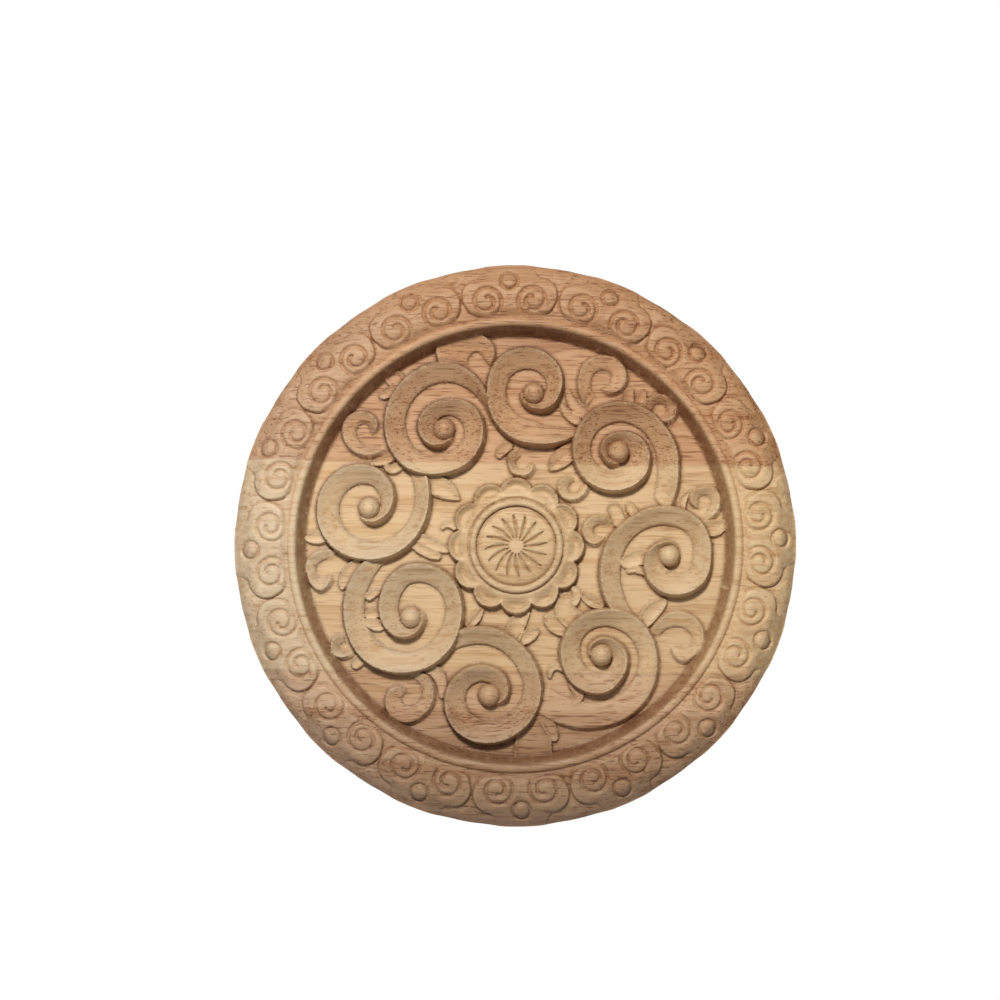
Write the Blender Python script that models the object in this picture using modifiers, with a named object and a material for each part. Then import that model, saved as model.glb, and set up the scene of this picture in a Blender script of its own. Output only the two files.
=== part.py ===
"""Round carved wooden applique: a roundel with eight scrolls about a rosette, in a recess with an ornate rim.

The carving is drawn in plan, in millimetres: u to the right and v up from the middle of the disc, and
heights from its back. An empty then stands the disc upright, with its back on the plane y = 0 and its
carved side towards -Y.
"""

import math

import bmesh
import bpy
from mathutils import Matrix, Vector

MM = 0.001

# Driving dimensions of the disc
DISC_RADIUS = 150.0
BLANK_RADIUS = 149.4
FLOOR = 12.0
FLOOR_RADIUS = 112.0
WALL_TOP_RADIUS = 116.2
WALL_TOP = 21.2
MOULDING_RADIUS = 118.5
MOULDING_WIDTH = 4.4
MOULDING_TOP = 23.0
GROOVE_RADIUS = 121.4
GROOVE = 20.8
BACK_CHAMFER = 1.0
DISC_STEPS = 64

# Height of the rim's lower layer at a few radii, and how far the clouds stand above it
RIM_DOME = ((122.0, 21.4), (129.0, 22.2), (141.0, 20.2), (BLANK_RADIUS, 14.4))
CLOUD_RISE = 1.4

# Rim ornament: cloud motifs, each with a bead and a pair of small spirals
CLOUDS = 16
CLOUD_TURN = 1.3
CLOUD_FOOT = 1.4
CLOUD_HALF = (
    (5.0, 152.0),
    (6.4, 143.6),
    (9.3, 141.4),
    (11.0, 134.5),
    (10.3, 126.5),
    (7.3, 120.6),
)
BEAD_DISTANCE = 140.6
BEAD_RADIUS = 3.8
BEAD_RISE = 1.3
BEAD_SINK = 0.35
SPIRAL_DISTANCE = 130.4
SPIRAL_ANGLE = 5.2
SPIRAL_RADIUS = 5.4
SPIRAL_END_RADIUS = 1.6
SPIRAL_TURNS = 1.2
SPIRAL_STEPS = 8
SPIRAL_START = 150.0
SPIRAL_WIDTH = 1.9
SPIRAL_THINNING = 0.4
SPIRAL_RISE = 0.9

# Carved bands: a high outer edge, a scooped slope and a low inner lip
ROOT_DEPTH = 2.0
DRAFT = 0.9
INNER_DRAFT = 0.3
SCOOP_AT = 0.55
SCOOP_RISE = 0.36
MOST_LIP = 0.45
SCROLL_RISE = 7.6
SCROLL_LIP = 1.5
SCROLL_STEP = 24.0
CURL_RISE = 3.4
CURL_LIP = 0.9
CURL_STEP = 40.0
TAIL_TURN = 30.0
TAIL_RISE = 0.55
TIP_TURN = 60.0
TIP_RISE = 0.5
BALL_RADIUS = 5.7
BALL_HEIGHT = 1.9

# Leaves: sections at these shares of the length, on a sine outline, blunt or pointed
LEAF_RISE = 3.0
LEAF_TIP_FALL = 0.35
LEAF_SECTIONS = (0.0, 0.4, 0.8, 0.975)
LEAF_ROOT_PHASE = 0.15
LEAF_FLAT_SHARE = 0.7
LEAF_BLUNT = 0.45
LEAF_POINTED = 0.9

# Scrolls: the ball's place, then angle, outer radius and inner radius along the band, tail first
SCROLLS = {
    "a": ((-38.1, 61.6), (
        (35, 28.7, 23.0), (90, 35.8, 26.0), (135, 33.6, 23.5), (180, 31.5, 20.8), (217, 29.4, 18.6),
        (270, 24.4, 12.8), (323, 23.0, 11.7), (392, 20.4, 10.1), (450, 15.4, 7.8), (540, 13.6, 4.6),
        (630, 8.7, 4.6), (675, 6.8, 4.6),
    )),
    "b": ((9.8, 81.0), (
        (-52, 32.6, 18.0), (-90, 28.2, 15.0), (-180, 24.8, 15.1), (-225, 26.1, 15.5), (-270, 23.7, 13.1),
        (-310, 19.8, 10.2), (-360, 15.0, 5.9), (-405, 12.4, 4.6), (-450, 9.1, 4.6), (-540, 6.4, 4.6),
    )),
    "c": ((55.2, 49.6), (
        (-45, 39.0, 28.8), (0, 32.0, 20.8), (35, 27.8, 17.6), (90, 26.4, 16.6), (180, 24.4, 15.0),
        (270, 21.6, 10.1), (315, 20.1, 8.0), (360, 16.8, 6.0), (405, 12.8, 4.6), (450, 10.1, 4.6),
        (540, 9.2, 4.6), (630, 6.9, 4.6),
    )),
    "d": ((82.2, -5.9), (
        (225, 42.0, 34.2), (180, 35.0, 25.1), (135, 28.7, 19.8), (90, 25.9, 16.6), (48, 24.6, 15.9),
        (0, 22.8, 13.2), (-40, 24.0, 13.4), (-90, 21.5, 8.0), (-135, 16.8, 5.2), (-180, 12.2, 4.6),
        (-225, 8.6, 4.6), (-315, 6.2, 4.6),
    )),
    "e": ((45.9, -58.9), (
        (-140, 45.9, 29.0), (-90, 38.9, 24.0), (-50, 35.2, 22.4), (0, 31.0, 20.2), (50, 27.2, 17.1),
        (90, 24.1, 15.6), (129, 22.7, 13.9), (180, 21.7, 11.5), (270, 20.8, 9.9), (317, 16.9, 7.6),
        (360, 14.2, 5.6), (405, 10.4, 4.6), (450, 8.9, 4.6), (540, 6.4, 4.6),
    )),
    "f": ((-13.9, -80.4), (
        (120, 37.2, 30.4), (90, 35.0, 27.0), (47, 30.7, 21.4), (0, 28.3, 18.2), (-54, 26.0, 14.2),
        (-131, 25.6, 14.1), (-180, 23.2, 13.0), (-225, 18.6, 10.0), (-270, 15.1, 6.6), (-315, 12.7, 4.6),
        (-372, 9.6, 4.6), (-405, 6.8, 4.6),
    )),
    "g": ((-55.7, -38.9), (
        (132, 39.8, 30.4), (180, 35.8, 24.8), (222, 33.4, 21.6), (270, 29.8, 18.9), (325, 27.8, 17.1),
        (360, 27.9, 18.4), (404, 30.0, 20.8), (450, 28.1, 18.6), (473, 24.8, 13.6), (500, 20.2, 9.2),
        (540, 16.0, 5.9), (580, 13.2, 4.6), (658, 9.2, 4.6), (745, 6.6, 4.6),
    )),
    "h": ((-78.2, 19.4), (
        (35, 36.3, 28.3), (0, 32.6, 24.1), (-44, 30.1, 20.3), (-90, 28.3, 18.4), (-147, 28.1, 17.2),
        (-218, 26.2, 15.5), (-270, 22.6, 13.2), (-308, 18.0, 9.4), (-360, 12.8, 5.6), (-405, 9.8, 4.6),
        (-490, 6.6, 4.6),
    )),
}

# Low curls behind the scrolls, in the same form, with no ball
CURLS = {
    "left_upper": ((-80.3, 60.6), (
        (324, 16.3, 11.8), (270, 14.8, 8.0), (225, 13.3, 5.9), (135, 12.9, 5.0), (45, 9.6, 3.7),
        (0, 6.9, 2.7), (-15, 4.8, 3.5),
    )),
    "top": ((-20.4, 98.0), (
        (200, 20.0, 5.3), (135, 18.0, 5.5), (90, 16.0, 5.8), (45, 13.2, 4.5), (0, 9.3, 5.1), (-8, 7.8, 6.0),
    )),
    "above_rosette": ((3.6, 42.5), (
        (105, 10.0, 4.5), (140, 10.0, 4.5), (180, 8.2, 3.5), (225, 7.5, 3.0), (270, 7.2, 2.5), (315, 8.2, 3.0),
        (360, 7.5, 3.5), (375, 5.5, 4.2),
    )),
    "right_top": ((47.5, 87.7), (
        (235, 17.0, 9.0), (180, 14.7, 7.1), (135, 15.0, 6.9), (45, 14.2, 5.6), (0, 13.6, 3.2),
        (-45, 10.7, 2.8), (-90, 6.9, 2.8), (-105, 5.0, 3.8),
    )),
    "right_upper": ((77.7, 71.9), (
        (190, 9.6, 4.6), (135, 10.0, 4.5), (45, 9.1, 4.2), (0, 10.5, 3.7), (-45, 9.8, 3.7), (-90, 7.3, 3.2),
        (-110, 5.2, 4.0),
    )),
    "rosette_upper_right": ((30.1, 30.3), (
        (15, 10.5, 5.0), (-45, 9.0, 4.0), (-90, 8.2, 3.0), (-180, 8.2, 2.2), (-225, 8.0, 2.3), (-270, 6.5, 3.0),
        (-285, 4.8, 3.8),
    )),
    "right": ((100.2, 22.5), (
        (280, 11.6, 6.0), (315, 11.2, 5.0), (405, 10.8, 5.2), (450, 9.0, 4.1), (495, 8.7, 3.2), (540, 7.3, 2.4),
        (590, 4.4, 3.0),
    )),
    "rosette_right": ((44.1, 6.9), (
        (35, 10.0, 6.0), (90, 9.3, 4.1), (135, 9.3, 3.2), (225, 8.7, 2.5), (270, 8.2, 2.7), (315, 5.6, 4.2),
    )),
    "left": ((-103.8, -16.3), (
        (60, 16.0, 10.5), (90, 14.0, 7.8), (135, 11.5, 4.5), (180, 8.2, 2.1), (225, 8.2, 2.0), (270, 9.9, 2.0),
        (315, 8.2, 2.4), (368, 6.4, 4.6),
    )),
    "left_lower": ((-92.1, -55.2), (
        (-30, 7.8, 4.0), (-90, 6.7, 2.5), (-180, 7.1, 2.3), (-225, 8.2, 2.6), (-270, 7.3, 3.0), (-285, 4.6, 3.5),
    )),
    "bottom_left": ((-58.0, -82.6), (
        (80, 17.0, 12.0), (45, 17.6, 11.0), (0, 16.0, 7.4), (-45, 14.3, 5.0), (-90, 14.0, 3.6), (-180, 12.1, 3.0),
        (-225, 10.4, 3.0), (-268, 5.2, 3.5),
    )),
    "right_lower": ((86.3, -51.1), (
        (165, 15.0, 9.6), (135, 15.4, 8.5), (90, 16.3, 7.5), (0, 16.0, 8.5), (-45, 14.3, 6.5), (-75, 13.6, 4.5),
        (-120, 6.4, 3.8),
    )),
}

# Leaves and lobes behind the scrolls: root, tip, width, and whether the tip is pointed
LEAVES = (
    ((-45.3, 32.9), (-29.9, 24.1), 11.0, True),
    ((-62.6, 45.6), (-66.9, 37.8), 7.0, False),
    ((-63.3, 48.0), (-73.9, 42.3), 5.0, False),
    ((-60.0, 82.9), (-69.0, 89.3), 9.0, False),
    ((-65.8, 76.5), (-73.3, 80.3), 5.0, True),
    ((37.2, 69.0), (27.1, 82.9), 5.0, True),
    ((33.5, 65.3), (24.4, 75.5), 5.0, True),
    ((61.2, 77.6), (59.6, 84.0), 6.0, False),
    ((67.1, 76.5), (67.7, 83.5), 6.0, False),
    ((-7.6, 53.0), (-6.8, 44.8), 6.0, False),
    ((29.7, 49.3), (18.8, 39.4), 7.0, True),
    ((85.6, 21.5), (93.0, 27.7), 4.0, True),
    ((100.2, 2.8), (109.8, 8.7), 8.0, False),
    ((53.8, 14.0), (51.1, 22.1), 8.0, False),
    ((62.3, 17.8), (60.7, 23.7), 6.0, False),
    ((-88.8, -11.1), (-92.8, -23.9), 6.0, False),
    ((-52.0, 2.3), (-34.9, -3.6), 7.0, False),
    ((-53.0, 0.2), (-40.2, -6.8), 7.0, False),
    ((-79.7, -38.8), (-72.8, -34.5), 7.0, False),
    ((-78.7, -42.0), (-70.6, -45.2), 7.0, False),
    ((-80.8, -58.6), (-84.5, -65.3), 6.0, False),
    ((-44.5, -65.5), (-39.1, -81.0), 6.0, False),
    ((-25.0, -42.3), (-17.1, -33.5), 5.0, True),
    ((69.3, -8.9), (58.6, -4.1), 9.0, False),
    ((69.8, -13.2), (63.4, -17.5), 6.0, False),
    ((69.3, -42.0), (80.5, -29.7), 11.0, False),
    ((31.3, -42.0), (20.7, -28.1), 14.0, False),
    ((21.7, -26.0), (32.9, -30.3), 6.0, True),
    ((45.8, -32.9), (34.0, -25.5), 6.0, True),
    ((27.6, -45.2), (15.3, -38.8), 11.0, False),
    ((-3.9, -47.4), (6.2, -37.2), 14.0, False),
    ((1.4, -51.1), (12.1, -46.8), 9.0, False),
    ((27.1, -77.3), (36.2, -83.7), 12.0, False),
    ((11.1, -91.2), (22.3, -103.4), 8.0, True),
    ((6.8, -94.4), (7.8, -116.8), 18.0, False),
    ((-105.4, 3.9), (-112.8, 0.7), 6.0, False),
)

# Rosette: twelve scooped petals, a round ring and a domed middle
ROSETTE_CENTRE = (0.5, -0.8)
PETALS = 12
PETAL_CENTRE_RADIUS = 27.5
PETAL_RADIUS = 8.6
PETAL_LIP = 4.5
PETAL_SCOOP = 2.9
PETAL_SCOOP_INSET = 3.0
PETAL_ROOT_RADIUS = 25.7
PETAL_ROOT = 5.4
RING_RADII = (24.6, 22.0)
RING_TOP = 7.2
DOME_RADIUS = 21.2
DOME_EDGE = 4.4
DOME_SHOULDER_RADIUS = 12.5
DOME_SHOULDER = 6.8
DOME_TOP = 7.6
POINTS_PER_PETAL = 4

# Finish of the joined mesh: points this near are welded, and this share of the triangles is kept
WELD_DISTANCE = 0.00005
FACES_KEPT = 0.58

WOOD_COLOUR = (0.56, 0.36, 0.19, 1.0)
WOOD_ROUGHNESS = 0.62


def clear_scene():
    for item in list(bpy.data.objects):
        bpy.data.objects.remove(item, do_unlink=True)


def wood_material():
    wood = bpy.data.materials.new("carved_rubberwood")
    wood.use_nodes = True
    shader = wood.node_tree.nodes["Principled BSDF"]
    shader.inputs["Base Color"].default_value = WOOD_COLOUR
    shader.inputs["Roughness"].default_value = WOOD_ROUGHNESS
    shader.inputs["Metallic"].default_value = 0.0
    return wood


def new_collection(name):
    collection = bpy.data.collections.new(name)
    bpy.context.scene.collection.children.link(collection)
    return collection


def add_object(name, mesh, collection, stand):
    item = bpy.data.objects.new(name, mesh)
    item.parent = stand
    collection.objects.link(item)
    return item


def add_helper(name, mesh, collection, stand):
    """An object that is only cut with or joined into the roundel."""
    helper = add_object(name, mesh, collection, stand)
    helper.hide_render = True
    helper.display_type = "WIRE"
    return helper


def mesh_from(shape, name, wood):
    mesh = bpy.data.meshes.new(name)
    shape.to_mesh(mesh)
    shape.free()
    mesh.materials.append(wood)
    return mesh


def point(u, v, height):
    return Vector((u, v, height)) * MM


def polar_point(centre, degrees, distance, height):
    angle = math.radians(degrees)
    return point(centre[0] + distance * math.cos(angle), centre[1] + distance * math.sin(angle), height)


def smoothstep(value):
    value = min(max(value, 0.0), 1.0)
    return value * value * (3.0 - 2.0 * value)


def along_table(table, place):
    """Straight-line reading of rows of (place, value)."""
    for (start, low), (end, high) in zip(table, table[1:]):
        if place <= end:
            return low + (high - low) * max(0.0, place - start) / (end - start)
    return table[-1][1]


def along_stations(stations, angle):
    """Outer and inner radius at an angle, on a smooth curve through the stations."""
    turns = [abs(row[0] - stations[0][0]) for row in stations]
    place = abs(angle - stations[0][0])
    last = len(stations) - 1
    at = next((i for i in range(last) if place <= turns[i + 1]), last - 1)
    span = turns[at + 1] - turns[at]
    t = min(1.0, (place - turns[at]) / span)
    radii = []
    for column in (1, 2):
        values = [row[column] for row in stations]

        def slope(i):
            before, after = max(i - 1, 0), min(i + 1, last)
            return (values[after] - values[before]) / (turns[after] - turns[before])

        start, end = values[at], values[at + 1]
        radii.append(
            start * (2 * t**3 - 3 * t**2 + 1)
            + end * (3 * t**2 - 2 * t**3)
            + span * slope(at) * (t**3 - 2 * t**2 + t)
            + span * slope(at + 1) * (t**3 - t**2)
        )
    return radii


def loft(name, sections, wood):
    """A closed solid through a row of sections that all have the same number of points."""
    shape = bmesh.new()
    rings = [[shape.verts.new(place) for place in section] for section in sections]
    for ring, following in zip(rings, rings[1:]):
        for i in range(len(ring)):
            j = (i + 1) % len(ring)
            shape.faces.new((ring[i], ring[j], following[j], following[i]))
    ends = [shape.faces.new(rings[0]), shape.faces.new(reversed(rings[-1]))]
    bmesh.ops.poke(shape, faces=ends)
    bmesh.ops.triangulate(shape, faces=shape.faces[:])
    bmesh.ops.recalc_face_normals(shape, faces=shape.faces[:])
    return mesh_from(shape, name, wood)


def band(name, centre, stations, rise, lip, step, wood):
    """A carved band that winds about its centre, high at its outer edge and low inside."""
    first, last = stations[0][0], stations[-1][0]
    steps = math.ceil(abs(last - first) / step)
    sections = []
    for i in range(steps + 1):
        angle = first + (last - first) * i / steps
        outer, inner = along_stations(stations, angle)
        tail = TAIL_RISE + (1.0 - TAIL_RISE) * smoothstep(abs(angle - first) / TAIL_TURN)
        tip = TIP_RISE + (1.0 - TIP_RISE) * smoothstep(abs(last - angle) / TIP_TURN)
        top = rise * tail * tip
        edge = min(lip, MOST_LIP * top)
        width = outer - inner
        outline = (
            (outer + DRAFT, -ROOT_DEPTH),
            (outer, top),
            (outer - SCOOP_AT * width, edge + SCOOP_RISE * (top - edge)),
            (inner, edge),
            (inner - INNER_DRAFT, -ROOT_DEPTH),
        )
        sections.append([polar_point(centre, angle, r, FLOOR + h) for r, h in outline])
    return loft(name, sections, wood)


def leaf(name, root, tip, width, pointed, wood):
    """A low leaf or lobe with bevelled sides."""
    spine = Vector(tip) - Vector(root)
    side = Vector((-spine.y, spine.x)).normalized()
    sharpness = LEAF_POINTED if pointed else LEAF_BLUNT
    sections = []
    for along in LEAF_SECTIONS:
        phase = LEAF_ROOT_PHASE + (1.0 - LEAF_ROOT_PHASE) * along
        half = width / 2 * math.sin(math.pi * phase) ** sharpness
        middle = Vector(root) + spine * along
        top = LEAF_RISE * (1.0 - LEAF_TIP_FALL * along)
        foot, flat = half + INNER_DRAFT, half * LEAF_FLAT_SHARE
        outline = ((-foot, -ROOT_DEPTH), (-flat, top), (flat, top), (foot, -ROOT_DEPTH))
        sections.append([point(*(middle + side * s), FLOOR + h) for s, h in outline])
    return loft(name, sections, wood)


def ball(name, centre, wood):
    shape = bmesh.new()
    bmesh.ops.create_uvsphere(
        shape, u_segments=10, v_segments=6, radius=BALL_RADIUS * MM,
        matrix=Matrix.Translation(point(*centre, FLOOR + BALL_HEIGHT)),
    )
    return mesh_from(shape, name, wood)


def petal_edge(degrees):
    """Radius of the rosette's lobed outline, and how near the angle is to a notch, from 0 to 1."""
    step = 360.0 / PETALS
    away = (degrees - 90.0 + step / 2) % step - step / 2
    side = PETAL_CENTRE_RADIUS * math.sin(math.radians(away))
    radius = PETAL_CENTRE_RADIUS * math.cos(math.radians(away)) + math.sqrt(PETAL_RADIUS**2 - side**2)
    return radius, abs(away) / (step / 2)


def rosette(name, wood):
    """Rings of points from the lobed foot, over the petals and the round ring, to the domed middle."""
    count = PETALS * POINTS_PER_PETAL
    shape = bmesh.new()
    columns = []
    for i in range(count):
        degrees = 90.0 + 360.0 * i / count
        edge, notch = petal_edge(degrees)
        profile = (
            (edge + INNER_DRAFT, -ROOT_DEPTH),
            (edge, PETAL_LIP),
            (edge - PETAL_SCOOP_INSET, PETAL_SCOOP + (PETAL_LIP - PETAL_SCOOP) * notch**3),
            (PETAL_ROOT_RADIUS, PETAL_ROOT),
            (RING_RADII[0], RING_TOP),
            (RING_RADII[1], RING_TOP),
            (DOME_RADIUS, DOME_EDGE),
            (DOME_SHOULDER_RADIUS, DOME_SHOULDER),
        )
        columns.append([shape.verts.new(polar_point(ROSETTE_CENTRE, degrees, r, FLOOR + h)) for r, h in profile])
    rings = list(zip(*columns))
    top = shape.verts.new(point(*ROSETTE_CENTRE, FLOOR + DOME_TOP))
    for i in range(count):
        j = (i + 1) % count
        for ring, following in zip(rings, rings[1:]):
            shape.faces.new((ring[i], ring[j], following[j], following[i]))
        shape.faces.new((rings[-1][i], rings[-1][j], top))
    shape.faces.new(rings[0])
    bmesh.ops.triangulate(shape, faces=shape.faces[:])
    bmesh.ops.recalc_face_normals(shape, faces=shape.faces[:])
    return mesh_from(shape, name, wood)


def turned(name, profile, closed, wood):
    """A profile of (radius, height) rows, for a Screw about the disc's axis."""
    shape = bmesh.new()
    rows = [shape.verts.new(point(radius, 0.0, height)) for radius, height in profile]
    for upper, lower in zip(rows, rows[1:]):
        shape.edges.new((upper, lower))
    if closed:
        shape.edges.new((rows[-1], rows[0]))
    return mesh_from(shape, name, wood)


def add_screw(item):
    item.rotation_euler.z = math.radians(CLOUD_TURN)
    screw = item.modifiers.new("turn", "SCREW")
    screw.steps = screw.render_steps = DISC_STEPS
    screw.use_merge_vertices = True
    screw.merge_threshold = 0.00001
    screw.use_smooth_shade = False


def add_weld(item):
    weld = item.modifiers.new("weld", "WELD")
    weld.merge_threshold = WELD_DISTANCE


def blank_profile():
    return (
        (0.0, FLOOR),
        (FLOOR_RADIUS, FLOOR),
        (WALL_TOP_RADIUS, WALL_TOP),
        (MOULDING_RADIUS - MOULDING_WIDTH / 4, MOULDING_TOP),
        (MOULDING_RADIUS + MOULDING_WIDTH / 4, MOULDING_TOP),
        (GROOVE_RADIUS, GROOVE),
        *RIM_DOME,
        (BLANK_RADIUS, BACK_CHAMFER),
        (BLANK_RADIUS - BACK_CHAMFER, 0.0),
        (0.0, 0.0),
    )


def cloud_mesh(collection, stand, wood):
    """One cloud of the rim at the top of the disc: its outline cut from a domed ring."""
    dome = [(radius, height + CLOUD_RISE) for radius, height in RIM_DOME]
    dome[-1] = (DISC_RADIUS, dome[-1][1])
    profile = dome + [(DISC_RADIUS, CLOUD_FOOT), (RIM_DOME[0][0], CLOUD_FOOT)]
    ring = add_helper("cloud_ring", turned("cloud_ring", profile, True, wood), collection, stand)
    add_screw(ring)
    half = [(90.0 + CLOUD_TURN - away, radius) for away, radius in CLOUD_HALF]
    mirrored = [(90.0 + CLOUD_TURN + away, radius) for away, radius in reversed(CLOUD_HALF)]
    outline = half + mirrored
    below, above = CLOUD_FOOT / 2, MOULDING_TOP + 2 * CLOUD_RISE
    sections = [[polar_point((0.0, 0.0), angle, radius, h) for angle, radius in outline] for h in (below, above)]
    prism = add_helper("cloud_outline", loft("cloud_outline", sections, wood), collection, stand)
    trim = prism.modifiers.new("dome", "BOOLEAN")
    trim.operation = "INTERSECT"
    trim.solver = "EXACT"
    trim.object = ring
    bpy.context.view_layer.update()
    graph = bpy.context.evaluated_depsgraph_get()
    mesh = bpy.data.meshes.new_from_object(prism.evaluated_get(graph))
    mesh.name = "cloud"
    for helper in (prism, ring):
        bpy.data.objects.remove(helper, do_unlink=True)
    return mesh


def rim_top(radius):
    return along_table(RIM_DOME, radius) + CLOUD_RISE


def bead_mesh(wood):
    shape = bmesh.new()
    slope = (rim_top(BEAD_DISTANCE - BEAD_RADIUS) - rim_top(BEAD_DISTANCE + BEAD_RADIUS)) / (2 * BEAD_RADIUS)
    place = point(0.0, BEAD_DISTANCE, rim_top(BEAD_DISTANCE) - BEAD_SINK)
    flatten = Matrix.Diagonal((1.0, 1.0, (BEAD_RISE + BEAD_SINK) / BEAD_RADIUS, 1.0))
    lean = Matrix.Translation(place) @ Matrix.Rotation(-math.atan(slope), 4, "X") @ flatten
    bmesh.ops.create_uvsphere(shape, u_segments=8, v_segments=4, radius=BEAD_RADIUS * MM, matrix=lean)
    return mesh_from(shape, "bead", wood)


def small_spiral_mesh(side, wood):
    """A ridge that winds in from the cloud's edge; side is 1 to the right of the bead and -1 to the left."""
    off_axis = math.radians(side * SPIRAL_ANGLE)
    middle = (SPIRAL_DISTANCE * math.sin(off_axis), SPIRAL_DISTANCE * math.cos(off_axis))
    sections = []
    for i in range(SPIRAL_STEPS + 1):
        along = i / SPIRAL_STEPS
        angle = 90.0 + side * (SPIRAL_START - 360.0 * SPIRAL_TURNS * along)
        radius = SPIRAL_RADIUS + (SPIRAL_END_RADIUS - SPIRAL_RADIUS) * along
        width = SPIRAL_WIDTH * (1.0 - SPIRAL_THINNING * along)
        ridge = polar_point(middle, angle, radius, 0.0)
        top = rim_top(ridge.xy.length / MM) + SPIRAL_RISE
        foot = top - 2 * SPIRAL_RISE
        section = ((radius + width / 2, foot), (radius, top), (radius - width / 2, foot))
        sections.append([polar_point(middle, angle, r, h) for r, h in section])
    return loft("small_spiral", sections, wood)


def build():
    clear_scene()
    wood = wood_material()
    stand = bpy.data.objects.new("stand_upright", None)
    stand.rotation_euler.x = math.pi / 2
    bpy.context.scene.collection.objects.link(stand)
    parts = new_collection("carved_roundel_applique")
    carving = new_collection("carving_shapes")
    helpers = new_collection("trimming_shapes")

    for letter, (centre, stations) in SCROLLS.items():
        name = "scroll_" + letter
        add_helper(name, band(name, centre, stations, SCROLL_RISE, SCROLL_LIP, SCROLL_STEP, wood), carving, stand)
        add_helper("ball_" + letter, ball("ball_" + letter, centre, wood), carving, stand)
    for place, (centre, stations) in CURLS.items():
        name = "curl_" + place
        add_helper(name, band(name, centre, stations, CURL_RISE, CURL_LIP, CURL_STEP, wood), carving, stand)
    for number, (root, tip, width, pointed) in enumerate(LEAVES, 1):
        name = f"leaf_{number:02d}"
        add_helper(name, leaf(name, root, tip, width, pointed, wood), carving, stand)
    add_helper("rosette", rosette("rosette", wood), carving, stand)

    cloud = cloud_mesh(helpers, stand, wood)
    rim_meshes = {
        "bead": bead_mesh(wood),
        "spiral_right": small_spiral_mesh(1, wood),
        "spiral_left": small_spiral_mesh(-1, wood),
    }
    for number in range(CLOUDS):
        turn = math.radians(360.0 * number / CLOUDS)
        add_helper(f"cloud_{number:02d}", cloud, carving, stand).rotation_euler.z = turn
        for kind, mesh in rim_meshes.items():
            shape = add_helper(f"{kind}_{number:02d}", mesh, carving, stand)
            shape.rotation_euler.z = turn + math.radians(CLOUD_TURN)

    blank = turned("carved_roundel", blank_profile(), False, wood)
    roundel = add_object("carved_roundel", blank, parts, stand)
    add_screw(roundel)
    join = roundel.modifiers.new("carving", "BOOLEAN")
    join.operation = "UNION"
    join.solver = "EXACT"
    join.operand_type = "COLLECTION"
    join.collection = carving
    add_weld(roundel)
    thin = roundel.modifiers.new("thin", "DECIMATE")
    thin.decimate_type = "COLLAPSE"
    thin.ratio = FACES_KEPT
    add_weld(roundel)


build()
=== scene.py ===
import math

import bmesh
import bpy
import numpy as np
from mathutils import Matrix, Vector


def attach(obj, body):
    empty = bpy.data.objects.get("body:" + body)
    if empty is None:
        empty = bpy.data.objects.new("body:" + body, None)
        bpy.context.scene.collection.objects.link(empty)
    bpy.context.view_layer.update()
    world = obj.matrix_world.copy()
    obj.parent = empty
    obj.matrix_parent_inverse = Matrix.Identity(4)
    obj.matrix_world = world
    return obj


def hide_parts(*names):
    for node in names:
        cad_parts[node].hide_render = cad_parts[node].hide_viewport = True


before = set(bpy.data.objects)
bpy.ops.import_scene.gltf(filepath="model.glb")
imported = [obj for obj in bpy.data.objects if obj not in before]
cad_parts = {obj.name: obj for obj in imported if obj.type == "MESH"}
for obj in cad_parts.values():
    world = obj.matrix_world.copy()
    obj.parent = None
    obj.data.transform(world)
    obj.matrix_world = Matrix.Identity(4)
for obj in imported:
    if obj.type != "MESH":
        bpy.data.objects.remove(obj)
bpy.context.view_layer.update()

# The carving is drawn in plan, in millimetres: u to the right and v up from the middle of the disc,
# with heights from its back. Standing up, a plan point is at x = u, z = v and y = -height.
MM = 0.001

# Sizes of the disc
DISC_RADIUS = 150.0
BLANK_RADIUS = 149.4
FLOOR = 12.0
FLOOR_RADIUS = 112.0
WALL_TOP_RADIUS = 116.2
WALL_TOP = 21.2
MOULDING_RADIUS = 118.5
MOULDING_HALF = 2.3
MOULDING_TOP = 22.7
MOULDING_SINK = 0.4
GROOVE_RADIUS = 121.4
GROOVE = 20.9
BACK_CHAMFER = 1.0

# Rim: height of the lower layer at a few radii, and the clouds that stand on it
RIM_DOME = (
    (122.0, 21.1),
    (125.5, 21.5),
    (129.0, 21.6),
    (135.0, 21.0),
    (141.0, 19.8),
    (146.0, 17.4),
    (149.4, 14.4),
)
CLOUDS = 16
CLOUD_TURN = 1.3
CLOUD_RISE = 1.9
CLOUD_SLOPE = 1.5
CLOUD_SPREAD = 0.3

# A cloud rises over a first stretch out from the groove, and sinks by a share near the disc's edge
CLOUD_FADE_IN = 4.0
CLOUD_FADE_FROM = 139.0
CLOUD_FADE_OVER = 8.0
CLOUD_FADE_BY = 0.8

# Right half of a cloud's outline: degrees from its axis, and distance from the disc's middle
CLOUD_HALF = (
    (5.0, 152.0),
    (5.5, 147.4),
    (6.5, 143.5),
    (8.1, 142.8),
    (10.2, 139.4),
    (11.1, 134.5),
    (11.0, 130.2),
    (9.9, 124.8),
    (7.5, 121.6),
)

# Line along a cloud's edge, bead, and pillow under the spiral. A line or groove is half width and depth
CLOUD_LINE = (0.9, 0.6)
CLOUD_LINE_LEAST = 0.4
BEAD_DISTANCE = 140.6
BEAD_RADIUS = 4.2
BEAD_RISE = 0.9
BEAD_GROOVE_RADIUS = 4.7
BEAD_GROOVE = (1.35, 1.35)
PILLOW_RADIUS = 12.0
PILLOW_RISE = 0.9

# The disc's edge steps in between the clouds, by degrees from a cloud's axis, eased over the last radii
NOTCH_STARTS = 3.2
NOTCH_OVER = 4.6
EDGE_EASED_FROM = 143.0
EDGE_EASED_OVER = 7.0

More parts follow.
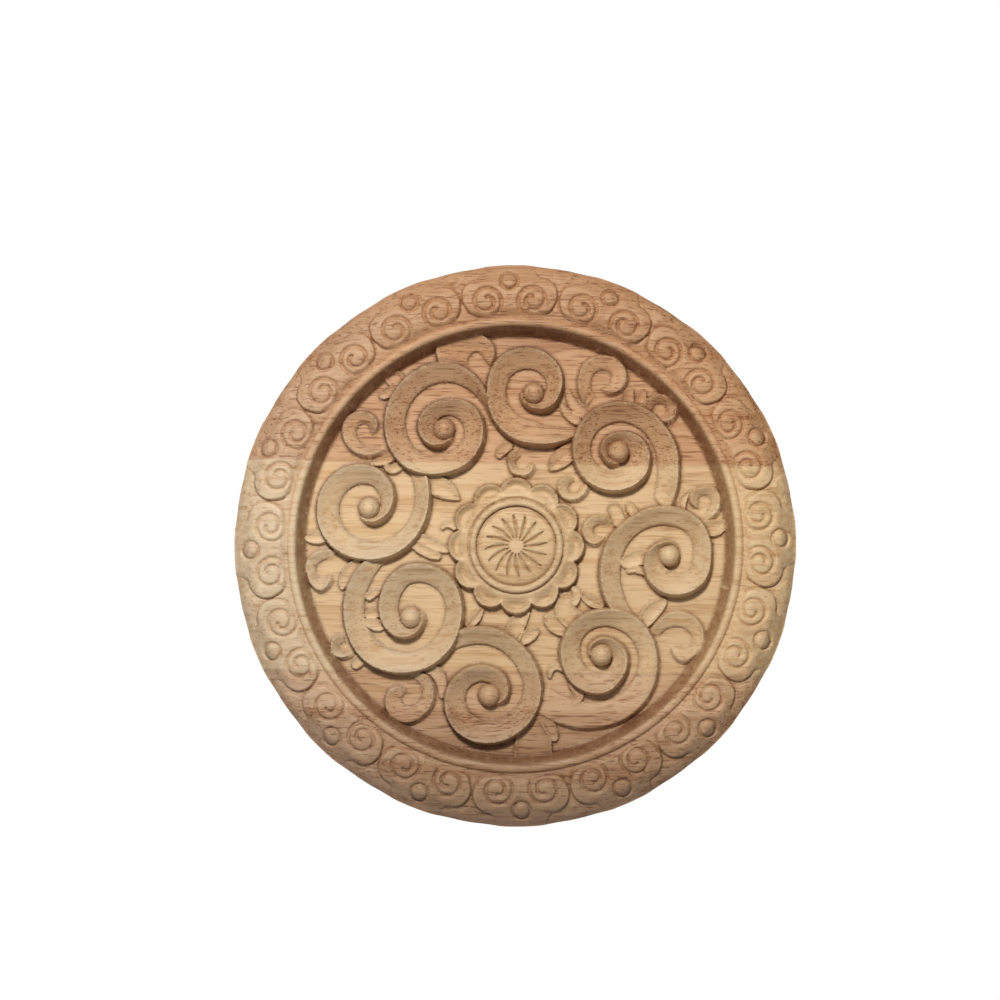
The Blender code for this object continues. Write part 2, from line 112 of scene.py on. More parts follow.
# Half width of the drop-shaped petal between two clouds, at a few radii
DROP_HALF = ((140.8, 0.0), (142.0, 2.2), (144.0, 4.4), (146.5, 5.4), (151.0, 5.6))
DROP_RISE = 0.6
DROP_SLOPE = 1.2

# Spiral grooves beside the bead: distance out from the spiral's middle, by degrees round it
SPIRAL_DISTANCE = 130.2
SPIRAL_ANGLE = 5.3
SPIRAL_START = -50.0
SPIRAL_GROOVE = (1.6, 1.5)
SPIRAL_FADE_IN = 50.0
SPIRAL_FADE_OUT = 40.0
SPIRAL_END_LEVEL = 0.3
SPIRAL_TURNS = (
    (0.0, 9.4), (40.0, 8.7), (85.0, 8.4), (130.0, 7.6), (175.0, 7.1),
    (220.0, 7.0), (265.0, 7.0), (310.0, 6.8), (355.0, 6.2), (400.0, 5.2),
    (445.0, 4.2), (490.0, 3.4), (535.0, 2.7), (580.0, 2.1), (620.0, 1.5),
)

# Bands: a high outer edge, a scooped slope and a low inner lip
DRAFT = 1.1
LIP_DRAFT = 0.5
CREST_ROUND = 0.25
CREST_ROUND_WIDTH = 0.7

# The outer wall leans more towards the lower right, at most by a share of the band's width
LEAN = 1.3
LEAN_TOWARDS = -45.0
MOST_LEAN = 0.4

# A lip is at most this share of its band's height, and no band winds round more often than this
MOST_LIP = 0.45
MOST_TURNS = 3

# Heights above the field, and how a band fades out at its tail and its tip, by degrees along it
SCROLL_RISE = 7.1
SCROLL_LIP = 1.8
CURL_RISE = 3.8
CURL_LIP = 1.3
CURL_TRIM = 1.1
TAIL_TURN = 30.0
TAIL_RISE = 0.4
LONG_TAILS = {"e": 260.0}
TIP_TURN = 60.0
TIP_RISE = 0.5
SCOOP_POWER = 1.1
BALL_RADIUS = 5.7
BALL_HEIGHT = 1.9
BALL_WALL = 0.4
LEAF_RISE = 2.7
LEAF_TIP_FALL = 0.25

# Scrolls: the ball's place, then angle, outer radius and inner radius along the band, tail first
SCROLLS = {
    "a": ((-38.1, 61.6), (
        (12, 26.6, 25.4), (35, 28.9, 25.2), (62, 33.2, 25.7), (90, 35.8, 26.0), (135, 33.6, 23.5),
        (180, 31.5, 20.8), (217, 29.4, 18.6), (270, 24.4, 12.8), (323, 23.0, 11.7), (392, 20.4, 10.1),
        (450, 15.4, 7.8), (540, 13.6, 4.6), (630, 8.7, 4.6), (675, 6.8, 4.6),
    )),
    "b": ((9.8, 81.0), (
        (-38, 33.6, 30.5), (-54, 31.6, 22.5), (-72, 29.8, 18.0), (-90, 28.2, 15.0), (-180, 24.8, 15.1),
        (-225, 26.1, 15.5), (-270, 23.7, 13.1), (-310, 19.8, 10.2), (-360, 15.0, 5.9), (-405, 12.4, 4.6),
        (-450, 9.1, 4.6), (-540, 6.4, 4.6),
    )),
    "c": ((55.2, 49.6), (
        (-51, 42.8, 30.6), (-45, 41.0, 28.4), (-20, 34.8, 22.6), (0, 32.0, 20.2), (35, 27.8, 17.6),
        (90, 26.4, 16.6), (180, 24.4, 15.0), (270, 21.6, 10.1), (315, 20.1, 8.0), (360, 16.8, 6.0),
        (405, 12.8, 4.6), (450, 10.1, 4.6), (540, 9.2, 4.6), (630, 6.9, 4.6),
    )),
    "d": ((82.2, -5.9), (
        (245, 44.0, 38.4), (222, 42.4, 32.6), (200, 39.0, 28.0), (180, 35.6, 25.1), (135, 28.7, 19.8),
        (90, 25.9, 16.6), (48, 24.6, 15.9), (0, 22.8, 13.2), (-40, 24.0, 13.4), (-90, 21.5, 8.0),
        (-135, 16.8, 5.2), (-180, 12.2, 4.6), (-225, 8.6, 4.6), (-315, 6.2, 4.6),
    )),
    "e": ((45.9, -58.9), (
        (-147, 47.0, 33.0), (-140, 45.6, 31.0), (-115, 42.0, 27.4), (-90, 38.9, 25.4), (-50, 35.2, 22.4),
        (0, 30.2, 20.2), (50, 27.0, 17.1), (90, 24.1, 15.6), (129, 22.7, 13.9), (180, 21.7, 11.5),
        (270, 20.8, 9.9), (317, 16.9, 7.6), (360, 14.2, 5.6), (405, 10.4, 4.6), (450, 8.9, 4.6),
        (540, 6.4, 4.6),
    )),
    "f": ((-13.9, -80.4), (
        (133, 38.6, 31.6), (112, 37.6, 29.3), (90, 35.8, 27.0), (47, 30.7, 21.4), (0, 28.3, 18.2),
        (-54, 26.0, 14.2), (-131, 25.6, 14.1), (-180, 23.2, 13.0), (-225, 18.6, 10.0), (-270, 15.1, 6.6),
        (-315, 12.7, 4.6), (-372, 9.6, 4.6), (-405, 6.8, 4.6),
    )),
    "g": ((-55.7, -38.9), (
        (112, 38.0, 33.6), (134, 38.6, 29.6), (158, 37.0, 26.8), (180, 35.4, 24.8),
        (222, 33.4, 21.6), (270, 29.8, 18.9), (325, 27.8, 17.1), (360, 27.9, 18.4), (404, 30.0, 20.8),
        (450, 28.1, 18.6), (473, 24.8, 13.6), (500, 20.2, 9.2), (540, 16.0, 5.9), (580, 13.2, 4.6),
        (658, 9.2, 4.6), (745, 6.6, 4.6),
    )),
    "h": ((-78.2, 19.4), (
        (44, 37.5, 29.6), (22, 34.8, 26.6), (0, 32.6, 24.1), (-44, 30.1, 20.3), (-90, 28.3, 18.4),
        (-147, 28.1, 17.2), (-218, 26.2, 15.5), (-270, 22.6, 13.2), (-308, 18.0, 9.4), (-360, 12.8, 5.6),
        (-405, 9.8, 4.6), (-490, 6.6, 4.6),
    )),
}

# Low curls behind the scrolls, in the same form, with no ball
CURLS = {
    "left_upper": ((-80.3, 60.6), (
        (324, 16.3, 11.8), (270, 14.8, 8.0), (225, 13.3, 5.9), (135, 12.9, 5.0), (45, 9.6, 3.7),
        (0, 6.9, 2.7), (-15, 4.8, 3.5),
    )),
    "top": ((-20.4, 98.0), (
        (202, 21.6, 5.3), (178, 22.0, 5.4), (160, 24.0, 5.5), (135, 20.0, 5.5), (90, 16.0, 5.8),
        (45, 13.2, 4.5), (0, 9.3, 5.1), (-8, 7.8, 6.0),
    )),
    "above_rosette": ((3.6, 42.5), (
        (105, 10.0, 4.5), (140, 10.0, 4.5), (180, 8.2, 3.5), (225, 7.5, 3.0), (270, 7.2, 2.5),
        (315, 8.2, 3.0), (360, 7.5, 3.5), (375, 5.5, 4.2),
    )),
    "right_top": ((47.5, 87.7), (
        (235, 17.0, 9.0), (180, 14.7, 7.1), (135, 15.0, 6.9), (45, 14.2, 5.6), (0, 13.6, 3.2),
        (-45, 10.7, 2.8), (-90, 6.9, 2.8), (-105, 5.0, 3.8),
    )),
    "right_upper": ((77.7, 71.9), (
        (190, 9.6, 4.6), (135, 10.0, 4.5), (45, 9.1, 4.2), (0, 10.5, 3.7), (-45, 9.8, 3.7), (-90, 7.3, 3.2),
        (-110, 5.2, 4.0),
    )),
    "rosette_upper_right": ((30.1, 30.3), (
        (15, 10.5, 5.0), (-45, 9.0, 4.0), (-90, 8.2, 3.0), (-180, 8.2, 2.2), (-225, 8.0, 2.3),
        (-270, 6.5, 3.0), (-285, 4.8, 3.8),
    )),
    "right": ((100.2, 22.5), (
        (280, 11.6, 6.0), (315, 11.2, 5.0), (405, 10.8, 5.2), (450, 9.0, 4.1), (495, 8.7, 3.2),
        (540, 7.3, 2.4), (590, 4.4, 3.0),
    )),
    "rosette_right": ((44.1, 6.9), (
        (35, 10.0, 6.0), (90, 9.3, 4.1), (135, 9.3, 3.2), (225, 8.7, 2.5), (270, 8.2, 2.7), (315, 5.6, 4.2),
    )),
    "left": ((-103.8, -16.3), (
        (60, 16.0, 10.5), (90, 14.0, 7.8), (135, 11.5, 4.5), (180, 8.2, 2.1), (225, 8.2, 2.0),
        (270, 9.9, 2.0), (315, 8.2, 2.4), (368, 6.4, 4.6),
    )),
    "left_lower": ((-92.1, -55.2), (
        (-30, 7.8, 4.0), (-90, 6.7, 2.5), (-180, 7.1, 2.3), (-225, 8.2, 2.6), (-270, 7.3, 3.0),
        (-285, 4.6, 3.5),
    )),
    "bottom_left": ((-58.0, -82.6), (
        (80, 17.0, 12.0), (45, 17.6, 11.0), (0, 16.0, 7.4), (-45, 14.3, 5.0), (-90, 14.0, 3.6),
        (-180, 12.1, 3.0), (-225, 10.4, 3.0), (-268, 5.2, 3.5),
    )),
    "right_lower": ((86.3, -51.1), (
        (165, 15.0, 9.6), (135, 15.4, 8.5), (90, 16.3, 7.5), (0, 16.0, 8.5), (-45, 14.3, 6.5),
        (-75, 13.6, 4.5), (-120, 6.4, 3.8),
    )),
}

# Leaves and lobes behind the scrolls: root, middle and tip of the spine, and the half widths there
LEAVES = (
    (((-46.0, 32.4), (-38.3, 29.8), (-30.2, 24.3)), (4.4, 5.0, 0.5)),
    (((89.0, 18.6), (89.6, 24.0), (92.9, 27.8)), (1.8, 2.2, 0.4)),
    (((31.0, 50.6), (24.4, 45.9), (18.8, 40.1)), (3.4, 4.5, 0.5)),
    (((-24.6, -42.8), (-20.9, -39.1), (-17.4, -34.1)), (1.8, 2.3, 0.5)),
    (((45.6, -32.6), (39.9, -30.0), (34.6, -25.4)), (1.5, 2.5, 0.4)),
)
LOBES = (
    (((-68.8, 41.4), (-65.1, 40.5), (-60.8, 43.5)), (1.4, 2.3, 1.8)),
    (((-76.5, 43.6), (-70.0, 45.0), (-63.6, 48.4)), (1.2, 2.2, 1.4)),
    (((-58.6, 83.6), (-62.2, 86.8), (-65.2, 89.4)), (4.0, 4.7, 4.3)),
    (((-65.8, 82.8), (-69.2, 80.5), (-71.6, 79.9)), (2.3, 2.2, 1.4)),
    (((38.2, 69.0), (31.6, 74.6), (28.0, 82.6)), (2.2, 2.6, 0.9)),
    (((33.0, 66.2), (28.6, 69.6), (25.2, 74.0)), (2.0, 2.3, 0.9)),
    (((60.9, 75.6), (60.8, 79.4), (61.4, 81.9)), (2.6, 2.7, 1.9)),
    (((67.4, 74.6), (67.6, 78.7), (68.6, 81.0)), (2.8, 2.7, 1.7)),
    (((-3.6, 52.4), (-7.1, 50.2), (-8.7, 47.8)), (2.0, 2.4, 1.5)),
    (((55.6, 12.4), (53.6, 17.6), (52.4, 20.2)), (3.2, 3.2, 2.3)),
    (((63.2, 17.4), (61.4, 19.8), (60.8, 21.2)), (2.4, 2.2, 1.5)),
    (((101.0, 9.0), (106.4, 8.8), (110.4, 10.6)), (3.6, 4.1, 2.6)),
    (((-85.4, -11.2), (-90.2, -17.2), (-92.6, -22.6)), (3.0, 3.2, 1.4)),
    (((-53.0, -0.2), (-46.8, -3.9), (-41.6, -6.4)), (2.6, 2.9, 1.7)),
    (((-50.0, 2.9), (-43.0, -0.6), (-36.8, -2.6)), (2.6, 2.6, 1.7)),
    (((-32.6, 9.6), (-36.3, 10.9), (-39.0, 8.9)), (1.6, 1.4, 0.8)),
    (((-77.6, -41.4), (-74.4, -42.9), (-71.7, -43.4)), (2.7, 3.0, 2.1)),
    (((-78.0, -37.4), (-75.0, -36.6), (-72.8, -36.0)), (2.3, 2.6, 1.9)),
    (((-78.0, -27.6), (-75.3, -26.0), (-73.7, -25.5)), (2.0, 1.8, 1.1)),
    (((-81.2, -59.4), (-83.7, -62.2), (-85.2, -64.2)), (2.8, 2.9, 2.1)),
    (((-46.0, -66.2), (-40.2, -71.2), (-39.3, -80.6)), (2.6, 3.0, 1.3)),
    (((69.6, -6.4), (63.9, -7.6), (59.6, -9.6)), (3.6, 4.0, 3.0)),
    (((70.0, -14.6), (64.6, -13.3), (60.8, -13.9)), (1.9, 1.7, 1.4)),
    (((68.4, -42.4), (72.9, -36.1), (79.0, -31.0)), (2.6, 4.2, 1.9)),
    (((31.2, -40.4), (26.6, -34.8), (27.1, -29.2)), (5.4, 5.1, 3.2)),
    (((31.6, -31.0), (32.8, -26.6), (30.9, -23.2)), (1.8, 2.0, 1.1)),
    (((28.6, -45.8), (21.9, -43.0), (18.0, -39.6)), (3.2, 4.3, 2.5)),
    (((-1.4, -49.4), (0.9, -42.9), (4.2, -37.0)), (4.5, 4.4, 3.3)),
    (((2.4, -51.0), (6.9, -49.0), (10.6, -46.8)), (3.0, 3.2, 2.0)),
    (((25.6, -66.4), (20.4, -65.3), (18.4, -70.2)), (1.4, 1.6, 0.9)),
    (((31.4, -75.0), (33.9, -80.3), (31.4, -83.6)), (2.6, 2.6, 1.5)),
    (((11.8, -89.4), (17.4, -96.0), (20.6, -102.6)), (1.6, 3.2, 2.2)),
    (((7.8, -95.0), (9.6, -104.3), (9.0, -114.6)), (4.6, 9.0, 9.6)),
    (((-101.6, 4.8), (-106.0, 3.9), (-111.0, 3.1)), (2.8, 3.4, 1.3)),
)
SPINE_STEPS = 15
LEAF_WALL = 0.7
LOBE_SCOOP = 0.30
LEAF_SCOOP = 1.2
VEIN = (0.7, 0.4)
MOST_DIP = 0.6

# Rosette: scooped petals, a round ring and a domed middle with incised strokes
ROSETTE_CENTRE = (0.5, -0.8)
PETALS = 12
PETAL_CENTRE_RADIUS = 27.5
PETAL_RADIUS = 8.6
PETAL_LIP = 5.0
PETAL_LIP_STARTS = 3.4
PETAL_LIP_OVER = 4.6
PETAL_SCOOP = 1.8
PETAL_SCOOP_RADIUS = 33.6
PETAL_ROOT_RADIUS = 25.6
PETAL_ROOT = 5.6
PETAL_ROOT_FADE = 3.0
PETAL_WALL = 0.9
RING_RADIUS = 23.2
RING_HALF = 1.75
RING_TOP = 6.8
RING_ROUND = 1.0
RING_GROOVE_OUT = 0.45
RING_GROOVE = (1.4, 1.2)
DOME_RADIUS = 21.0
DOME_EDGE = 4.4
DOME_TOP = 7.6
STROKES = 16
STROKE_FIRST = 6.0
STROKE_SWIRL = 11.0
STROKE_SPAN = (3.8, 16.8)
STROKE_HALF_WIDTH = 1.25
STROKE_TAPER = 0.6
STROKE_HAIR = 0.02
STROKE_DEPTH = 1.7

# Fineness of the carved surface: target edge lengths, and the allowed error between points
MAP_STEP = 0.5
MAP_MARGIN = 2
FINEST = 0.62
COARSEST = 3.2
TOLERANCE = 0.045
BEND_REACHES = (1, 2)
FLATTEST = 1e-6
GROWTH = 0.45
GROWTH_ROUNDS = 6
FIRST_CELLS = 56
ROUNDS = 5
EDGE_SHARES = (0.0, 0.25, 0.5, 0.75, 1.0)
SPLIT_OVER = 1.4
CARVED_ABOVE = 2.0
CARVED_TRIANGLES = 186000
CRISP_ANGLE = math.radians(60.0)

# Maps of where the surface is hollow and where it is steep, which the painted shade, the painted highlights
# and the wood's colours follow
HOLLOW_BLUR = 2
STEEP_BLUR = 1
SHADING_SHARE = 0.15
SHADING_MOST = 2.2


def smoothstep(value):
    value = np.clip(value, 0.0, 1.0)
    return value * value * (3.0 - 2.0 * value)


def read_table(rows, place):
    """Straight-line reading of rows of (place, value)."""
    return np.interp(place, [row[0] for row in rows], [row[1] for row in rows])


def read_smooth(places, values, at):
    """A smooth curve through values at rising places."""
    places, values = np.asarray(places, float), np.asarray(values, float)
    slopes = np.empty(len(places))
    slopes[1:-1] = (values[2:] - values[:-2]) / (places[2:] - places[:-2])
    slopes[0] = (values[1] - values[0]) / (places[1] - places[0])
    slopes[-1] = (values[-1] - values[-2]) / (places[-1] - places[-2])
    i = np.clip(np.searchsorted(places, at) - 1, 0, len(places) - 2)
    span = places[i + 1] - places[i]
    t = np.clip((at - places[i]) / span, 0.0, 1.0)
    return (
        values[i] * (2 * t**3 - 3 * t**2 + 1)
        + values[i + 1] * (3 * t**2 - 2 * t**3)
        + span * slopes[i] * (t**3 - 2 * t**2 + t)
        + span * slopes[i + 1] * (t**3 - t**2)
    )


def raise_to(height, where, level):
    """Lifts the surface to a level wherever that is higher than what is there."""
    height[where] = np.maximum(height[where], level)


def vee(away, half_width, depth):
    """A rounded V cut of some half width and depth: what it takes off at a distance from its line."""
    return depth * smoothstep(1.0 - np.abs(away) / half_width)


def carve_band(height, u, v, centre, stations, rise, lip, tail_turn=TAIL_TURN):
    """A carved band that winds about its centre, high at its outer edge and low inside."""
    reach = max(row[1] for row in stations) + DRAFT
    across_u, across_v = u - centre[0], v - centre[1]
    near = np.flatnonzero(np.hypot(across_u, across_v) < reach)
    distance = np.hypot(across_u[near], across_v[near])
    bearing = np.degrees(np.arctan2(across_v[near], across_u[near]))
    first, last = stations[0][0], stations[-1][0]
    sign = 1.0 if last > first else -1.0
    turns = [sign * (row[0] - first) for row in stations]
    outers = [row[1] for row in stations]
    inners = [row[2] for row in stations]
    length = turns[-1]
    start = sign * (bearing - first)
    lowest = math.floor((length - start.min()) / 360.0) + 1 if len(start) else 0
    for turn in range(-MOST_TURNS, lowest + 1):
        along = start + 360.0 * turn
        past = np.maximum(-along, along - length)
        past_arc = np.radians(np.maximum(past, 0.0)) * distance
        use = past_arc < DRAFT
        along = np.clip(along[use], 0.0, length)
        if not len(along):
            continue
        rows, r = near[use], distance[use]
        outer = read_smooth(turns, outers, along)
        inner = read_smooth(turns, inners, along)
        tail = TAIL_RISE + (1.0 - TAIL_RISE) * smoothstep(along / tail_turn)
        tip = TIP_RISE + (1.0 - TIP_RISE) * smoothstep((length - along) / TIP_TURN)
        top = rise * tail * tip
        edge = np.minimum(lip, MOST_LIP * top)
        away = np.radians(bearing[use] - LEAN_TOWARDS)
        lean = np.minimum(LEAN * np.maximum(np.cos(away), 0.0), MOST_LEAN * (outer - inner))
        crest = outer - lean
        t = np.clip((crest - r) / (crest - inner), 0.0, 1.0)
        level = edge + (top - edge) * (1.0 - t) ** SCOOP_POWER
        level -= CREST_ROUND * np.clip(1.0 - (crest - r) / CREST_ROUND_WIDTH, 0.0, 1.0) ** 2
        outer_wall = (top - CREST_ROUND) * (1.0 - (r - crest) / (DRAFT + lean))
        inner_wall = edge * (1.0 - (inner - r) / LIP_DRAFT)
        level = np.where(r > crest, outer_wall, level)
        level = np.where(r < inner, inner_wall, level)
        level *= 1.0 - past_arc[use] / DRAFT
        keep = level > 0.0
        raise_to(height, rows[keep], FLOOR + level[keep])


def carve_ball(height, u, v, centre):
    """The ball at the end of a scroll."""
    distance = np.hypot(u - centre[0], v - centre[1])
    near = np.flatnonzero(distance < BALL_RADIUS + BALL_WALL)
    r = distance[near]
    dome = BALL_HEIGHT + np.sqrt(np.maximum(BALL_RADIUS**2 - r**2, 0.0))
    wall = BALL_HEIGHT * (1.0 - (r - BALL_RADIUS) / BALL_WALL)
    level = np.where(r > BALL_RADIUS, wall, dome)
    raise_to(height, near, FLOOR + level)


def carve_leaf(height, u, v, spine, halves, veined):
    """A low leaf with a vein, or a lobe scooped like a spoon, along a curved spine."""
    share = np.linspace(0.0, 1.0, SPINE_STEPS)
    at_root, at_tip = (1 - share) * (1 - 2 * share), share * (2 * share - 1)
    parts = np.stack([at_root, 4 * share * (1 - share), at_tip], axis=1)
    places = parts @ np.array(spine)
    reaches = parts @ np.array(halves)
    around = max(halves) + LEAF_WALL
    near = np.flatnonzero(
        (u > places[:, 0].min() - around) & (u < places[:, 0].max() + around)
        & (v > places[:, 1].min() - around) & (v < places[:, 1].max() + around)
    )
    inside = np.full(len(near), -around)
    from_spine = np.full(len(near), around)
    half, along = np.ones(len(near)), np.zeros(len(near))
    for place, reach, step in zip(places, reaches, share):
        away = np.hypot(u[near] - place[0], v[near] - place[1])
        from_spine = np.minimum(from_spine, away)
        nearer = reach - away > inside
        inside = np.where(nearer, reach - away, inside)
        half, along = np.where(nearer, reach, half), np.where(nearer, step, along)
    top = LEAF_RISE * (1.0 - LEAF_TIP_FALL * along)
    depth = np.clip(inside / half, 0.0, 1.0)
    if veined:
        dip = LEAF_SCOOP * depth + vee(from_spine, *VEIN) * (1.0 - along)
    else:
        dip = LOBE_SCOOP * half * depth * (2.0 - depth)
    wall = top * (1.0 + inside / LEAF_WALL)
    level = np.where(inside < 0.0, wall, top - np.minimum(dip, MOST_DIP * top))
    keep = level > 0.0
    raise_to(height, near[keep], FLOOR + level[keep])


def carve_rosette(height, u, v):
    """Scooped petals round a ring, with a domed middle that is cut with a swirl of strokes."""
    across_u, across_v = u - ROSETTE_CENTRE[0], v - ROSETTE_CENTRE[1]
    distance = np.hypot(across_u, across_v)
    near = np.flatnonzero(distance < PETAL_CENTRE_RADIUS + PETAL_RADIUS + DRAFT)
    r = distance[near]
    bearing = np.degrees(np.arctan2(across_v[near], across_u[near]))
    step = 360.0 / PETALS
    away = np.radians((bearing - 90.0 + step / 2) % step - step / 2)
    from_petal = np.hypot(r * np.cos(away) - PETAL_CENTRE_RADIUS, r * np.sin(away))
    slope = (PETAL_SCOOP_RADIUS - r) / (PETAL_SCOOP_RADIUS - PETAL_ROOT_RADIUS)
    bowl = PETAL_SCOOP + (PETAL_ROOT - PETAL_SCOOP) * smoothstep(slope)
    lip = np.clip((from_petal - PETAL_LIP_STARTS) / PETAL_LIP_OVER, 0.0, 1.0) ** 2
    lip *= smoothstep((r - PETAL_ROOT_RADIUS) / PETAL_ROOT_FADE)
    level = bowl + (PETAL_LIP - np.minimum(bowl, PETAL_LIP)) * lip
    outside = from_petal - PETAL_RADIUS
    wall = PETAL_LIP * (1.0 - outside / PETAL_WALL)
    level = np.where((outside > 0.0) & (r > PETAL_CENTRE_RADIUS), wall, level)
    level -= vee(r - (RING_RADIUS + RING_HALF + RING_GROOVE_OUT), *RING_GROOVE)
    bead = np.sqrt(np.maximum(1.0 - ((r - RING_RADIUS) / RING_HALF) ** 2, 0.0))
    ring = RING_TOP - RING_ROUND + RING_ROUND * bead
    level = np.where(np.abs(r - RING_RADIUS) < RING_HALF, ring, level)
    dome = DOME_EDGE + (DOME_TOP - DOME_EDGE) * np.sqrt(np.maximum(1.0 - (r / DOME_RADIUS) ** 2, 0.0))
    low, high = STROKE_SPAN
    reach = np.clip((r - low) / (high - low), 0.0, 1.0)
    turn = (bearing - STROKE_FIRST - STROKE_SWIRL * (reach - 1.0)) % (360.0 / STROKES)
    turn = np.minimum(turn, 360.0 / STROKES - turn)
    half_width = STROKE_HALF_WIDTH * np.sin(math.pi * reach) ** STROKE_TAPER
    side = np.radians(turn) * r
    stroke = STROKE_DEPTH * np.clip(1.0 - side / np.maximum(half_width, STROKE_HAIR), 0.0, 1.0)
    dome -= np.where(half_width > STROKE_HAIR, stroke, 0.0)
    dome = np.where(r > DOME_RADIUS, DOME_EDGE, dome)
    level = np.where(r < RING_RADIUS - RING_HALF, dome, level)
    keep = level > 0.0
    raise_to(height, near[keep], FLOOR + level[keep])


def cloud_outline():
    """Points along the cloud's edge, from the disc's middle and with the cloud's axis straight up."""
    angles = [row[0] for row in CLOUD_HALF]
    radii = [row[1] for row in CLOUD_HALF]
    steps = np.linspace(0, len(angles) - 1, 4 * (len(angles) - 1) + 1)
    angle = np.radians(read_smooth(range(len(angles)), angles, steps))
    radius = read_smooth(range(len(radii)), radii, steps)
    right = np.stack([radius * np.sin(angle), radius * np.cos(angle)], axis=1)
    left = right[::-1] * (-1.0, 1.0)
    return np.concatenate([right, left])


def outline_distance(x, y, outline):
    """Distance to a closed outline, positive inside it."""
    nearest = np.full(len(x), 1e9)
    inside = np.zeros(len(x), bool)
    for (x0, y0), (x1, y1) in zip(outline, np.roll(outline, -1, axis=0)):
        run, rise = x1 - x0, y1 - y0
        t = np.clip(((x - x0) * run + (y - y0) * rise) / (run * run + rise * rise), 0.0, 1.0)
        nearest = np.minimum(nearest, np.hypot(x - x0 - t * run, y - y0 - t * rise))
        if rise != 0.0:
            crosses = (y0 > y) != (y1 > y)
            inside ^= crosses & (x < x0 + (y - y0) / rise * run)
    return np.where(inside, nearest, -nearest)


def spiral_cut(x, y):
    """Depth of the small spiral groove beside a cloud's bead, less the rise of the pillow under it."""
    angle = math.radians(SPIRAL_ANGLE)
    across_x, across_y = x - SPIRAL_DISTANCE * math.sin(angle), y - SPIRAL_DISTANCE * math.cos(angle)
    distance = np.hypot(across_x, across_y)
    bearing = np.degrees(np.arctan2(across_y, across_x))
    cut = np.zeros(len(x))
    places = [row[0] for row in SPIRAL_TURNS]
    radii = [row[1] for row in SPIRAL_TURNS]
    for turn in range(math.ceil(places[-1] / 360.0) + 1):
        along = SPIRAL_START - bearing + 360.0 * turn
        use = (along > 0.0) & (along < places[-1])
        radius = read_smooth(places, radii, along[use])
        starting = smoothstep(along[use] / SPIRAL_FADE_IN)
        ending = smoothstep((places[-1] - along[use]) / SPIRAL_FADE_OUT + SPIRAL_END_LEVEL)
        fade = starting * ending
        cut[use] = np.maximum(cut[use], vee(distance[use] - radius, *SPIRAL_GROOVE) * fade)
    pillow = np.maximum(1.0 - (distance / PILLOW_RADIUS) ** 2, 0.0)
    return cut - PILLOW_RISE * pillow


def degrees_from_cloud(u, v):
    """Degrees round the disc from the axis of the nearest cloud."""
    clockwise = 90.0 - np.degrees(np.arctan2(v, u)) + CLOUD_TURN
    step = 360.0 / CLOUDS
    return np.abs((clockwise + step / 2) % step - step / 2)


def carve_rim(height, u, v):
    """The domed rim with its clouds, beads, spirals and drop-shaped petals."""
    radius = np.hypot(u, v)
    near = np.flatnonzero(radius > GROOVE_RADIUS)
    r = radius[near]
    away = np.radians(degrees_from_cloud(u[near], v[near]))
    x, y = r * np.sin(away), r * np.cos(away)
    lower = read_table(RIM_DOME, r)
    from_drop = (math.radians(180.0 / CLOUDS) - away) * r - read_table(DROP_HALF, r)
    drop = np.where(r > DROP_HALF[0][0], DROP_RISE * smoothstep(0.5 - from_drop / DROP_SLOPE), 0.0)
    inside = outline_distance(x, y, CLOUD_EDGE)
    rising = smoothstep((r - GROOVE_RADIUS) / CLOUD_FADE_IN)
    strength = rising * (1.0 - CLOUD_FADE_BY * smoothstep((r - CLOUD_FADE_FROM) / CLOUD_FADE_OVER))
    cloud = smoothstep((inside + CLOUD_SPREAD) / CLOUD_SLOPE) * strength
    plate = lower + drop * (1.0 - cloud) + CLOUD_RISE * cloud
    line_strength = CLOUD_LINE_LEAST + (1.0 - CLOUD_LINE_LEAST) * strength
    plate -= vee(inside, *CLOUD_LINE) * line_strength * rising
    from_bead = np.hypot(x, y - BEAD_DISTANCE)
    plate -= vee(from_bead - BEAD_GROOVE_RADIUS, *BEAD_GROOVE)
    plate += BEAD_RISE * np.maximum(1.0 - (from_bead / BEAD_RADIUS) ** 2, 0.0)
    plate -= spiral_cut(x, y) * cloud
    height[near] = plate


def carving_height(u, v):
    """Height of the carved face above the disc's back, at points of the plan."""
    radius = np.hypot(u, v)
    height = np.full(len(u), FLOOR)
    wall = (radius - FLOOR_RADIUS) / (WALL_TOP_RADIUS - FLOOR_RADIUS)
    height += (WALL_TOP - FLOOR) * np.clip(wall, 0.0, 1.0)
    bead = np.sqrt(np.maximum(1.0 - ((radius - MOULDING_RADIUS) / MOULDING_HALF) ** 2, 0.0))
    moulding = WALL_TOP - MOULDING_SINK + (MOULDING_TOP - WALL_TOP + MOULDING_SINK) * bead
    height = np.where(radius > MOULDING_RADIUS - MOULDING_HALF, moulding, height)
    height = np.where(radius > MOULDING_RADIUS + MOULDING_HALF, GROOVE, height)
    for spine, halves in LOBES:
        carve_leaf(height, u, v, spine, halves, veined=False)
    for spine, halves in LEAVES:
        carve_leaf(height, u, v, spine, halves, veined=True)
    for centre, stations in CURLS.values():
        trimmed = [(angle, outer - CURL_TRIM, inner) for angle, outer, inner in stations]
        carve_band(height, u, v, centre, trimmed, CURL_RISE, CURL_LIP)
    carve_rosette(height, u, v)
    for name, (centre, stations) in SCROLLS.items():
        tail_turn = LONG_TAILS.get(name, TAIL_TURN)
        carve_band(height, u, v, centre, stations, SCROLL_RISE, SCROLL_LIP, tail_turn)
        carve_ball(height, u, v, centre)
    carve_rim(height, u, v)
    return height


